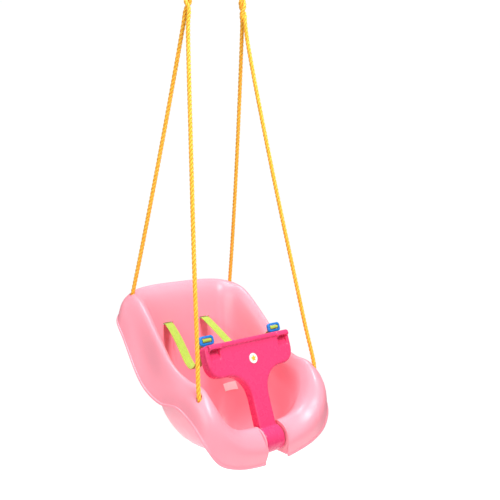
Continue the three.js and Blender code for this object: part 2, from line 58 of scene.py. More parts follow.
Point = tuple[float, float, float]
HANG = np.array([0.0, 9.0, 1248.0])
LIP_Y, LIP_Z = -185.0, 90.0
LEAN = math.radians(21)
BAR_FRAME = Matrix.Translation((0, LIP_Y, LIP_Z)) @ Matrix.Rotation(-LEAN, 4, "X")
BUCKLE_X, BUCKLE_BACK, BUCKLE_UP = 105.0, 8.0, 250.0
SLOT_X, SLOT_Y, SLOT_Z = 58.5, 138.0, 315.0
STRAND_SIDES = 10
# any direction that no tube here starts along
ASKEW = (0.31, 0.87, 0.38)
# the radius of a turned solid's ends where they meet its axis
TIP = 0.01


class Side(Enum):
    """The two sides of the swing, by the sign of X."""

    LEFT = -1
    RIGHT = 1

    @property
    def word(self) -> str:
        """The side's name in the names of pieces and bodies."""
        return self.name.lower()


class Slot(Enum):
    """The swing's material slots, by name."""

    SEAT = "seat"
    BAR = "bar"
    BUCKLE = "buckle"
    WEBBING = "webbing"
    ROPE = "rope"
    RING = "ring"
    STEEL = "steel"
    LABEL = "label"
    BADGE = "badge"


class Body(Enum):
    """The rigid bodies that do not depend on the side."""

    HOOKS = "hooks"
    SWING = "swing"
    T_BAR = "t_bar"


# ---------- geometry helpers ----------


def to_row(points: Sequence[Point] | np.ndarray) -> np.ndarray:
    """Points of the seat's frame in millimetres, in the row frame in metres."""
    return (np.asarray(points, float) - HANG) / 1000


def smooth_curve(points: np.ndarray, at: np.ndarray, closed: bool = False) -> np.ndarray:
    """Points on a smooth curve through the given ones.

    Args:
        points: the points to pass through, first axis along the curve.
        at: places along the curve, 0 to 1, shared equally between the points.
        closed: whether the last point runs on to the first.

    Returns:
        One point, or one row of points, for each place.
    """
    pts = np.asarray(points, float)
    count = len(pts)
    spans = count if closed else count - 1
    place = np.asarray(at, float) * spans
    index = np.minimum(np.floor(place).astype(int), spans - 1)
    share = (place - index).reshape((-1,) + (1,) * (pts.ndim - 1))
    if closed:
        p0, p1, p2, p3 = (pts[(index + step) % count] for step in (-1, 0, 1, 2))
    else:
        longer = np.concatenate([2 * pts[:1] - pts[1:2], pts, 2 * pts[-1:] - pts[-2:-1]])
        p0, p1, p2, p3 = (longer[index + step] for step in range(4))

    def root(a: np.ndarray, b: np.ndarray) -> np.ndarray:
        """The square root of the distance between two points."""
        return np.sqrt(np.maximum(np.linalg.norm(b - a, axis=-1, keepdims=True), 1e-9))

    d0, d1, d2 = root(p0, p1), root(p1, p2), root(p2, p3)
    leave = ((p1 - p0) / d0 - (p2 - p0) / (d0 + d1) + (p2 - p1) / d1) * d1
    arrive = ((p2 - p1) / d1 - (p3 - p1) / (d1 + d2) + (p3 - p2) / d2) * d1
    bend = 3 * (p2 - p1) - 2 * leave - arrive
    twist = 2 * (p1 - p2) + leave + arrive
    return p1 + leave * share + bend * share**2 + twist * share**3


def stepped_curve(points: Sequence[Point] | np.ndarray, steps: int) -> np.ndarray:
    """Points on a smooth curve through the given ones, with a number of steps between each two."""
    return smooth_curve(np.array(points, float), np.linspace(0, 1, (len(points) - 1) * steps + 1))


def round_angles(count: int) -> np.ndarray:
    """Angles shared equally round a circle."""
    return np.linspace(0, 2 * math.pi, count, endpoint=False)


def unit_rows(vectors: np.ndarray) -> np.ndarray:
    """The same directions with length 1."""
    return vectors / np.linalg.norm(vectors, axis=1, keepdims=True)


def evenly(points: np.ndarray, gap: float) -> np.ndarray:
    """The same line with its points a given gap apart."""
    steps = np.linalg.norm(np.diff(points, axis=0), axis=1)
    along = np.concatenate([[0], np.cumsum(steps)])
    places = np.linspace(0, along[-1], max(2, round(along[-1] / gap) + 1))
    return np.stack([np.interp(places, along, points[:, axis]) for axis in range(3)], axis=1)


def ease(value: np.ndarray, low: float, high: float) -> np.ndarray:
    """A smooth rise from 0 at low to 1 at high, or a fall where low is above high."""
    share = np.clip((np.asarray(value, float) - low) / (high - low), 0, 1)
    return share * share * (3 - 2 * share)


def in_scene(name: str, data: bpy.types.ID) -> bpy.types.Object:
    """A new object in the scene that shows the given mesh, light or camera."""
    obj = bpy.data.objects.new(name, data)
    bpy.context.scene.collection.objects.link(obj)
    return obj


def mesh_object(name: str, points: np.ndarray, faces: Sequence[Sequence[int]]) -> bpy.types.Object:
    """A new object in the scene from vertices and faces, with its normals outwards.

    Args:
        name: the piece's name.
        points: its vertices.
        faces: the vertex numbers of each face.

    Returns:
        The object.
    """
    mesh = bpy.data.meshes.new(name)
    mesh.from_pydata(np.asarray(points, float).tolist(), [], [list(face) for face in faces])
    work = bmesh.new()
    work.from_mesh(mesh)
    bmesh.ops.remove_doubles(work, verts=work.verts, dist=1e-7)
    bmesh.ops.recalc_face_normals(work, faces=work.faces)
    work.to_mesh(mesh)
    work.free()
    return in_scene(name, mesh)


def rings_mesh(name: str, rings: np.ndarray, closed: bool = False) -> bpy.types.Object:
    """A skin over rings of points, capped at both ends unless the rings close on themselves.

    Args:
        name: the piece's name.
        rings: points as (ring, place round the ring, 3).
        closed: whether the last ring joins the first.

    Returns:
        The object.
    """
    count, around = rings.shape[:2]
    faces: list[list[int]] = []
    for ring in range(count if closed else count - 1):
        following = (ring + 1) % count
        for place in range(around):
            turn = (place + 1) % around
            faces.append([ring * around + place, ring * around + turn,
                          following * around + turn, following * around + place])
    if not closed:
        faces.append(list(range(around))[::-1])
        faces.append([(count - 1) * around + place for place in range(around)])
    return mesh_object(name, rings.reshape(-1, 3), faces)


def tube(name: str, path: np.ndarray, radius: float, sides: int) -> bpy.types.Object:
    """A round tube along a path.

    Args:
        name: the piece's name.
        path: the points of its middle line.
        radius: its radius.
        sides: how many sides it has.

    Returns:
        The object.
    """
    tangents = unit_rows(np.gradient(path, axis=0))
    normal = np.cross(tangents[0], ASKEW)
    angles = round_angles(sides)
    rings = []
    for point, tangent in zip(path, tangents):
        normal = normal - tangent * np.dot(normal, tangent)
        normal /= np.linalg.norm(normal)
        across = np.cross(tangent, normal)
        rings.append(point + radius * (np.cos(angles)[:, None] * normal + np.sin(angles)[:, None] * across))
    return rings_mesh(name, np.array(rings))


def turned(name: str, profile: Sequence[tuple[float, float]], centre: Point, sides: int = 48,
           closed: bool = False) -> bpy.types.Object:
    """A solid turned about an axis along X.

    Args:
        name: the piece's name.
        profile: (radius, place along X) from one end to the other.
        centre: the point that the places are measured from.
        sides: how many sides it has.
        closed: whether the profile joins on itself, as in a ring.

    Returns:
        The object, in the seat's millimetres.
    """
    angles = round_angles(sides)
    rings = np.array([[(centre[0] + x, centre[1] + r * math.cos(a), centre[2] + r * math.sin(a))
                       for a in angles] for r, x in profile])
    return rings_mesh(name, rings, closed)


def box(name: str, low: Point, high: Point) -> bpy.types.Object:
    """A box between two corners, to join to or cut from a piece."""
    corners = [(x, y, z) for x in (low[0], high[0]) for y in (low[1], high[1]) for z in (low[2], high[2])]
    faces = [(0, 1, 3, 2), (4, 6, 7, 5), (0, 4, 5, 1), (2, 3, 7, 6), (0, 2, 6, 4), (1, 5, 7, 3)]
    return mesh_object(name, np.array(corners), faces)


def prism(name: str, outline: Sequence[tuple[float, float]], axis: int, low: float,
          high: float) -> bpy.types.Object:
    """A flat outline drawn out along an axis.

    Args:
        name: the piece's name.
        outline: its corners on the two other axes, in their X, Y, Z order.
        axis: 0, 1 or 2 for X, Y or Z.
        low: where it begins along the axis.
        high: where it ends.

    Returns:
        The object.
    """
    flat = np.array(outline, float)
    ends = [np.insert(flat, axis, place, axis=1) for place in (low, high)]
    return rings_mesh(name, np.array(ends))


def apply_modifiers(obj: bpy.types.Object) -> bpy.types.Object:
    """The object with its modifiers turned into plain mesh."""
    graph = bpy.context.evaluated_depsgraph_get()
    mesh = bpy.data.meshes.new_from_object(obj.evaluated_get(graph))
    obj.modifiers.clear()
    obj.data = mesh
    return obj


def combine(obj: bpy.types.Object, others: Sequence[bpy.types.Object], how: str) -> bpy.types.Object:
    """Joins other solids to a solid, or cuts them from it.

    Args:
        obj: the solid to change.
        others: the solids to join or cut, which are used up.
        how: UNION or DIFFERENCE.

    Returns:
        The changed solid.
    """
    for other in others:
        modifier = obj.modifiers.new("solid", "BOOLEAN")
        modifier.operation = how
        modifier.solver = "MANIFOLD"
        modifier.object = other
        apply_modifiers(obj)
        bpy.data.objects.remove(other)
    return obj


def rounded(obj: bpy.types.Object, width: float, segments: int = 3) -> bpy.types.Object:
    """The solid with its sharp edges rounded.

    Args:
        obj: the solid.
        width: how far the rounding reaches from an edge.
        segments: how many flats make it up.

    Returns:
        The same object.
    """
    modifier = obj.modifiers.new("round", "BEVEL")
    modifier.width = width
    modifier.segments = segments
    modifier.limit_method = "ANGLE"
    modifier.angle_limit = math.radians(35)  # gentler edges than this stay as they are
    return apply_modifiers(obj)


def moulded(obj: bpy.types.Object, grain: float, passes: int) -> bpy.types.Object:
    """The solid with every edge and joint blended, as a moulding comes out of its tool.

    Args:
        obj: the solid.
        grain: the size of the new mesh's squares.
        passes: how many times it is smoothed.

    Returns:
        The same object.
    """
    remesh = obj.modifiers.new("remesh", "REMESH")
    remesh.mode = "VOXEL"
    remesh.voxel_size = grain
    soften = obj.modifiers.new("soften", "SMOOTH")
    soften.factor = 0.5
    soften.iterations = passes
    return apply_modifiers(obj)


def placed(obj: bpy.types.Object, local: Matrix | None = None) -> bpy.types.Object:
    """The mesh carried from millimetres to its place in the row frame.

    Args:
        obj: the object, whose mesh is in millimetres.
        local: its own frame within the seat's frame, if it has one.

    Returns:
        The same object.
    """
    to_seat = local if local is not None else Matrix.Identity(4)
    shift = Matrix.Translation(Vector(-HANG / 1000))
    obj.data.transform(shift @ Matrix.Scale(0.001, 4) @ to_seat)
    return obj


# ---------- finishes ----------


class NodeBuilder:
    """A node tree while it is being made."""

    def __init__(self, tree: bpy.types.NodeTree) -> None:
        """Takes the tree to add to."""
        self.tree = tree

    def node(self, kind: str, values: dict[object, object] | None = None,
             **options: object) -> bpy.types.Node:
        """A new node.

        Args:
            kind: its type.
            values: values or links for its inputs, by name or number.
            options: its own settings.

        Returns:
            The node.
        """
        made = self.tree.nodes.new(kind)
        for option, value in options.items():
            setattr(made, option, value)
        for socket, value in (values or {}).items():
            self.feed(made.inputs[socket], value)
        return made

    def feed(self, socket: bpy.types.NodeSocket, value: object) -> None:
        """Links a socket to an input, or sets the input to a plain value."""
        if isinstance(value, bpy.types.NodeSocket):
            self.tree.links.new(value, socket)
        else:
            socket.default_value = value

    def math(self, operation: str, *values: object) -> bpy.types.NodeSocket:
        """The result of a sum on numbers or sockets."""
        return self.node("ShaderNodeMath", dict(enumerate(values)), operation=operation).outputs[0]


class Surface(NodeBuilder):
    """A material's node tree while it is being made."""

    def __init__(self, name: str) -> None:
        """Starts a material with one shader."""
        self.material = bpy.data.materials.new(name)
        self.material.use_nodes = True
        super().__init__(self.material.node_tree)
        self.shader = self.tree.nodes["Principled BSDF"]
        self.where = self.node("ShaderNodeTexCoord").outputs["Object"]

    def ramp(self, source: bpy.types.NodeSocket,
             stops: Sequence[tuple[float, Point]]) -> bpy.types.NodeSocket:
        """A colour ramp over a source, from its stops."""
        made = self.node("ShaderNodeValToRGB", {"Fac": source})
        band = made.color_ramp.elements
        for index, (place, colour) in enumerate(stops):
            stop = band[index] if index < 2 else band.new(place)
            stop.position = place
            stop.color = (*colour, 1)
        return made.outputs["Color"]

    def noise(self, scale: float, detail: float,
              vector: bpy.types.NodeSocket | None = None) -> bpy.types.NodeSocket:
        """A noise over the object, or over a vector of its own."""
        values = {"Vector": self.where if vector is None else vector, "Scale": scale, "Detail": detail}
        return self.node("ShaderNodeTexNoise", values).outputs["Fac"]

    def bump(self, height: bpy.types.NodeSocket, strength: float, distance: float) -> bpy.types.NodeSocket:
        """A bump from a height."""
        values = {"Height": height, "Strength": strength, "Distance": distance}
        return self.node("ShaderNodeBump", values).outputs["Normal"]

    def attribute(self, name: str) -> bpy.types.NodeSocket:
        """One of the mesh's own attributes, as a number."""
        return self.node("ShaderNodeAttribute", attribute_name=name).outputs["Fac"]

    def put(self, **sockets: object) -> bpy.types.Material:
        """Sets or links the shader's inputs, named with _ for a space, and gives the material."""
        for name, value in sockets.items():
            self.feed(self.shader.inputs[name.replace("_", " ")], value)
        return self.material


def shade(colour: Point, share: float) -> Point:
    """The colour made lighter or darker by a share."""
    return tuple(min(1.0, part * share) for part in colour)


@dataclass(frozen=True)
class MouldedPlastic:
    """Coloured moulded plastic: an even skin with slight clouding, fine orange peel and rubbed spots."""

    name: str
    colour: Point
    roughness: float
    glow: float = 0.0
    clouding: float = 0.03

    def material(self) -> bpy.types.Material:
        """The plastic's material."""
        surface = Surface(self.name)
        cloud = surface.noise(9, 3)
        tint = surface.ramp(cloud, [(0.3, shade(self.colour, 1 - self.clouding)), (0.7, self.colour)])
        rubbed = surface.noise(70, 6)
        gloss = surface.node("ShaderNodeMapRange", {
            "Value": rubbed, "From Min": 0.35, "From Max": 0.7,
            "To Min": self.roughness - 0.04, "To Max": self.roughness + 0.08}).outputs["Result"]
        peel = surface.bump(surface.noise(320, 2), 0.03, 0.0001)
        return surface.put(
            Base_Color=tint, Roughness=gloss, Normal=peel, IOR=1.49,
            Subsurface_Weight=self.glow, Subsurface_Radius=(1.0, 0.35, 0.4), Subsurface_Scale=0.004)


@dataclass(frozen=True)
class WovenWebbing:
    """Flat woven webbing, read from the piece's own UV map in metres across and along, with painted shade in
    the weave's low places.
    """

    name: str
    colour: Point
    yarn: float = 0.0013
    weft_share: float = 1.25

    def material(self) -> bpy.types.Material:
        """The webbing's material."""
        surface = Surface(self.name)
        places = surface.node("ShaderNodeUVMap").outputs["UV"]
        split = surface.node("ShaderNodeSeparateXYZ", {"Vector": places})
        turn = 2 * math.pi / self.yarn
        ribs = surface.math("SINE", surface.math("MULTIPLY", split.outputs["X"], turn))
        weft = surface.math("SINE", surface.math("MULTIPLY", split.outputs["Y"], turn * self.weft_share))
        height = surface.math("MULTIPLY_ADD", surface.math("MULTIPLY", ribs, weft), 0.5, 0.5)
        worn = surface.noise(160, 5)
        # partly painted shade, partly wear: the weave's low places are coloured darker, mixed with a random
        # worn tone
        mixed = surface.math("MULTIPLY_ADD", height, 0.6, worn)
        tint = surface.ramp(mixed, [(0.35, shade(self.colour, 0.72)), (0.95, self.colour)])
        raised = surface.bump(height, 0.5, 0.0005)
        return surface.put(Base_Color=tint, Roughness=0.8, Normal=raised, Sheen_Weight=0.3)


@dataclass(frozen=True)
class TwistedFibre:
    """Fibres that run along a strand, read from the strand's own attributes along, around and height; the
    height attribute paints shade into the grooves between the strands.
    """

    name: str
    colour: Point
    crest: Point = (1.0, 0.66, 0.1)
    # painted shade: the darker orange painted into the grooves between the strands, and the heights, as shares
    # of the rope's radius, between which it fades in
    groove: Point = (1.0, 0.25, 0.002)
    groove_shade_heights: tuple[float, float] = (0.93, 0.7)

    def material(self) -> bpy.types.Material:
        """The rope's material."""
        surface = Surface(self.name)
        far = surface.math("MULTIPLY", surface.attribute("along"), 90.0)
        yarns = surface.math("MULTIPLY", surface.attribute("around"), 9.0)
        place = surface.node("ShaderNodeCombineXYZ", {"X": far, "Y": yarns}).outputs["Vector"]
        fibres = surface.noise(1.6, 5, place)
        cloud = surface.noise(60, 3)
        mixed = surface.math("MULTIPLY_ADD", fibres, 0.8, surface.math("MULTIPLY", cloud, 0.3))
        tint = surface.ramp(mixed, [
            (0.4, shade(self.colour, 0.86)), (0.55, self.colour), (0.8, self.crest)])
        # painted shade: the colour turns to the darker groove orange from the strands' crests down into the
        # grooves between them
        crest_height, groove_height = self.groove_shade_heights
        groove_shade_share = surface.node(
            "ShaderNodeMapRange",
            {"Value": surface.attribute("height"), "From Min": crest_height, "From Max": groove_height},
            interpolation_type="SMOOTHSTEP").outputs["Result"]
        tint = surface.node("ShaderNodeMix", {"Factor": groove_shade_share, 6: tint, 7: (*self.groove, 1)},
                            data_type="RGBA").outputs[2]
        raised = surface.bump(fibres, 0.55, 0.0006)
        return surface.put(Base_Color=tint, Roughness=0.5, Normal=raised, Sheen_Weight=0.25,
                           Subsurface_Weight=0.08, Subsurface_Radius=(1.0, 0.6, 0.1), Subsurface_Scale=0.003)


@dataclass(frozen=True)
class PlatedSteel:
    """Zinc-plated steel rod with faint spangle and scratches."""

    name: str
    colour: Point = (0.62, 0.64, 0.66)

    def material(self) -> bpy.types.Material:
        """The steel's material."""
        surface = Surface(self.name)
        spangle = surface.noise(220, 6)
        tint = surface.ramp(spangle, [(0.35, shade(self.colour, 0.8)), (0.65, self.colour)])
        gloss = surface.node("ShaderNodeMapRange", {
            "Value": spangle, "To Min": 0.22, "To Max": 0.46}).outputs["Result"]
        return surface.put(Base_Color=tint, Roughness=gloss, Metallic=1.0,
                           Normal=surface.bump(surface.noise(1200, 3), 0.12, 0.0003))


@dataclass(frozen=True)
class PaperLabel:
    """A plain matt label with a faint fibre."""

    name: str
    colour: Point = (0.93, 0.93, 0.92)

    def material(self) -> bpy.types.Material:
        """The label's material."""
        surface = Surface(self.name)
        fibre = surface.noise(350, 6)
        tint = surface.ramp(fibre, [(0.3, shade(self.colour, 0.96)), (0.7, self.colour)])
        return surface.put(Base_Color=tint, Roughness=0.55, Normal=surface.bump(fibre, 0.08, 0.0002))


Finish = MouldedPlastic | WovenWebbing | TwistedFibre | PlatedSteel | PaperLabel


def of_finish(finish: Finish) -> bpy.types.Material:
    """A palette's field, filled with the finish's material when the palette is made."""
    return field(default_factory=finish.material)


@dataclass
class Palette:
    """The finishes of the whole swing, each made once."""

    seat: bpy.types.Material = of_finish(MouldedPlastic("pale_pink_plastic", (1.0, 0.345, 0.43), 0.32, 0.1))
    bar: bpy.types.Material = of_finish(MouldedPlastic("hot_pink_plastic", (0.88, 0.05, 0.18), 0.26))
    buckle: bpy.types.Material = of_finish(MouldedPlastic("blue_plastic", (0.01, 0.2, 0.62), 0.36))
    webbing: bpy.types.Material = of_finish(WovenWebbing("lime_webbing", (0.42, 0.6, 0.055)))
    thread: bpy.types.Material = of_finish(MouldedPlastic("lime_thread", (0.42, 0.6, 0.06), 0.6))
    rope: bpy.types.Material = of_finish(TwistedFibre("yellow_rope", (1.0, 0.53, 0.014)))
    twine: bpy.types.Material = of_finish(MouldedPlastic("yellow_twine", (0.9, 0.38, 0.01), 0.6))
    ring: bpy.types.Material = of_finish(MouldedPlastic("amber_plastic", (0.87, 0.33, 0.01), 0.38))
    steel: bpy.types.Material = of_finish(PlatedSteel("zinc_plate"))
    label: bpy.types.Material = of_finish(PaperLabel("plain_label"))
    disc: bpy.types.Material = of_finish(MouldedPlastic("badge_white", (0.9, 0.89, 0.86), 0.35))
    flower: bpy.types.Material = of_finish(MouldedPlastic("badge_yellow", (0.9, 0.5, 0.05), 0.35))


def dress(obj: bpy.types.Object, material: bpy.types.Material, slot: Slot, body: str, *stands_for: str,
          sharp: float = 38) -> bpy.types.Object:
    """Gives a finished piece its material, its shading, its body and the CAD nodes it stands for.

    Args:
        obj: the piece, in place.
        material: its finish.
        slot: not used.
        body: the rigid body that it moves with.
        stands_for: the CAD nodes it shows instead of.
        sharp: the angle in degrees above which an edge stays sharp.

    Returns:
        The same piece.
    """
    obj.data.materials.clear()
    obj.data.materials.append(material)
    obj.data.shade_smooth()
    obj.data.set_sharp_from_angle(angle=math.radians(sharp))
    if stands_for:
        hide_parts(*stands_for)
    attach(obj, body)
    log.info("%s: %d faces on %s", obj.name, len(obj.data.polygons), body)
    return obj


# ---------- Geometry Nodes ----------


class NodeTool(NodeBuilder):
    """A Geometry Nodes tree with named inputs, run once on a carrier mesh and turned into plain mesh."""

    def __init__(self, name: str) -> None:
        """Starts an empty tree with a geometry input and output."""
        super().__init__(bpy.data.node_groups.new(name, "GeometryNodeTree"))
        self.tree.interface.new_socket("Geometry", in_out="INPUT", socket_type="NodeSocketGeometry")
        self.tree.interface.new_socket("Geometry", in_out="OUTPUT", socket_type="NodeSocketGeometry")
        self.start = self.tree.nodes.new("NodeGroupInput")
        self.end = self.tree.nodes.new("NodeGroupOutput")

    def size(self, name: str, kind: str = "NodeSocketFloat") -> bpy.types.NodeSocket:
        """A new named input of the tree."""
        self.tree.interface.new_socket(name, in_out="INPUT", socket_type=kind)
        return self.start.outputs[name]

    def vector(self, operation: str, values: dict[object, object],
               output: int | str = 0) -> bpy.types.NodeSocket:
        """The result of a sum on vectors."""
        return self.node("ShaderNodeVectorMath", values, operation=operation).outputs[output]

    def store(self, geometry: bpy.types.NodeSocket, name: str, value: bpy.types.NodeSocket,
              kind: str = "FLOAT") -> bpy.types.NodeSocket:
        """The geometry with a value kept on its points as a named attribute."""
        values = {"Geometry": geometry, "Name": name, "Value": value}
        return self.node("GeometryNodeStoreNamedAttribute", values, data_type=kind, domain="POINT").outputs[0]

    def close(self, geometry: bpy.types.NodeSocket) -> None:
        """Realizes the instances, sets the material input on them and ends the tree."""
        material = self.size("Material", "NodeSocketMaterial")
        real = self.node("GeometryNodeRealizeInstances", {"Geometry": geometry})
        painted = self.node("GeometryNodeSetMaterial",
                            {"Geometry": real.outputs[0], "Material": material})
        self.tree.links.new(painted.outputs[0], self.end.inputs[0])

    def run(self, carrier: bpy.types.Object, **sizes: object) -> bpy.types.Object:
        """Runs the tree on a carrier.

        Args:
            carrier: the object whose mesh the tree reads, which becomes the result.
            sizes: values of the named inputs, with _ for a space.

        Returns:
            The carrier, now a plain mesh.
        """
        modifier = carrier.modifiers.new(self.tree.name, "NODES")
        modifier.node_group = self.tree
        identifiers = {item.name: item.identifier for item in self.tree.interface.items_tree
                       if item.in_out == "INPUT"}
        for name, value in sizes.items():
            modifier[identifiers[name.replace("_", " ")]] = value
        return apply_modifiers(carrier)


def line_object(name: str, points: np.ndarray, closed: bool = False) -> bpy.types.Object:
    """A mesh of edges only, to carry a path into Geometry Nodes."""
    mesh = bpy.data.meshes.new(name)
    count = len(points)
    edges = [(index, (index + 1) % count) for index in range(count if closed else count - 1)]
    mesh.from_pydata(np.asarray(points, float).tolist(), edges, [])
    return in_scene(name, mesh)


def rope_lay_tool() -> NodeTool:
    """Nodes that lay twisted strands round a path, with attributes for the fibres and for the painted shade in
    the grooves.
    """
    tool = NodeTool("rope_lay")
    offset = tool.size("Strand Offset")
    radius = tool.size("Strand Radius")
    lay = tool.size("Lay Length")
    strands = tool.size("Strands", "NodeSocketInt")
    path = tool.node("GeometryNodeMeshToCurve", {"Mesh": tool.start.outputs["Geometry"]})
    copies = tool.node("GeometryNodeDuplicateElements",
                       {"Geometry": path.outputs[0], "Amount": strands}, domain="SPLINE")
    along = tool.node("GeometryNodeSplineParameter").outputs["Length"]
    share = tool.math("DIVIDE", copies.outputs["Duplicate Index"], strands)
    turns = tool.math("ADD", tool.math("DIVIDE", along, lay), share)
    angle = tool.math("MULTIPLY", turns, 2 * math.pi)
    normal = tool.node("GeometryNodeInputNormal").outputs[0]
    tangent = tool.node("GeometryNodeInputTangent").outputs[0]
    across = tool.vector("CROSS_PRODUCT", {0: tangent, 1: normal})

    def part(direction: bpy.types.NodeSocket, wave: str) -> bpy.types.NodeSocket:
        """The share of a strand's offset along one direction."""
        length = tool.math("MULTIPLY", tool.math(wave, angle), offset)
        return tool.vector("SCALE", {0: direction, "Scale": length})

    shift = tool.vector("ADD", {0: part(normal, "COSINE"), 1: part(across, "SINE")})
    marked = tool.store(copies.outputs[0], "along", along)
    place = tool.node("GeometryNodeInputPosition").outputs[0]
    cored = tool.store(marked, "core", place, "FLOAT_VECTOR")
    moved = tool.node("GeometryNodeSetPosition", {"Geometry": cored, "Offset": shift})
    circle = tool.node("GeometryNodeCurvePrimitiveCircle", {"Resolution": STRAND_SIDES, "Radius": radius})
    factor = tool.node("GeometryNodeSplineParameter").outputs["Factor"]
    profile = tool.store(circle.outputs[0], "around", factor)
    skin = tool.node("GeometryNodeCurveToMesh", {
        "Curve": moved.outputs[0], "Profile Curve": profile, "Fill Caps": True})
    core = tool.node("GeometryNodeInputNamedAttribute", {"Name": "core"}, data_type="FLOAT_VECTOR").outputs[0]
    # height: how far each point stands from the rope's middle line, as a share of the rope's radius; the
    # rope's material uses it to paint shade into the grooves
    reach = tool.vector("DISTANCE", {0: place, 1: core}, "Value")
    height = tool.math("DIVIDE", reach, tool.math("ADD", offset, radius))
    ridged = tool.store(skin.outputs[0], "height", height)
    tool.close(ridged)
    return tool


def stitch_tool() -> NodeTool:
    """Nodes that set small capsule stitches along a path."""
    tool = NodeTool("stitches")
    length = tool.size("Stitch Length")
    gap = tool.size("Stitch Gap")
    radius = tool.size("Thread Radius")
    path = tool.node("GeometryNodeMeshToCurve", {"Mesh": tool.start.outputs["Geometry"]})
    pitch = tool.math("ADD", length, gap)
    points = tool.node("GeometryNodeCurveToPoints",
                       {"Curve": path.outputs[0], "Length": pitch}, mode="LENGTH")
    bead = tool.node("GeometryNodeMeshUVSphere", {"Segments": 8, "Rings": 5, "Radius": 1.0})
    half = tool.math("MULTIPLY", length, 0.5)
    scale = tool.node("ShaderNodeCombineXYZ", {"X": radius, "Y": radius, "Z": half})
    copies = tool.node("GeometryNodeInstanceOnPoints", {
        "Points": points.outputs["Points"], "Instance": bead.outputs["Mesh"],
        "Rotation": tool.node("FunctionNodeAlignEulerToVector",
                              {"Vector": points.outputs["Tangent"]}, axis="Z").outputs[0],
        "Scale": scale.outputs[0]})
    tool.close(copies.outputs[0])
    return tool


# ---------- seat ----------


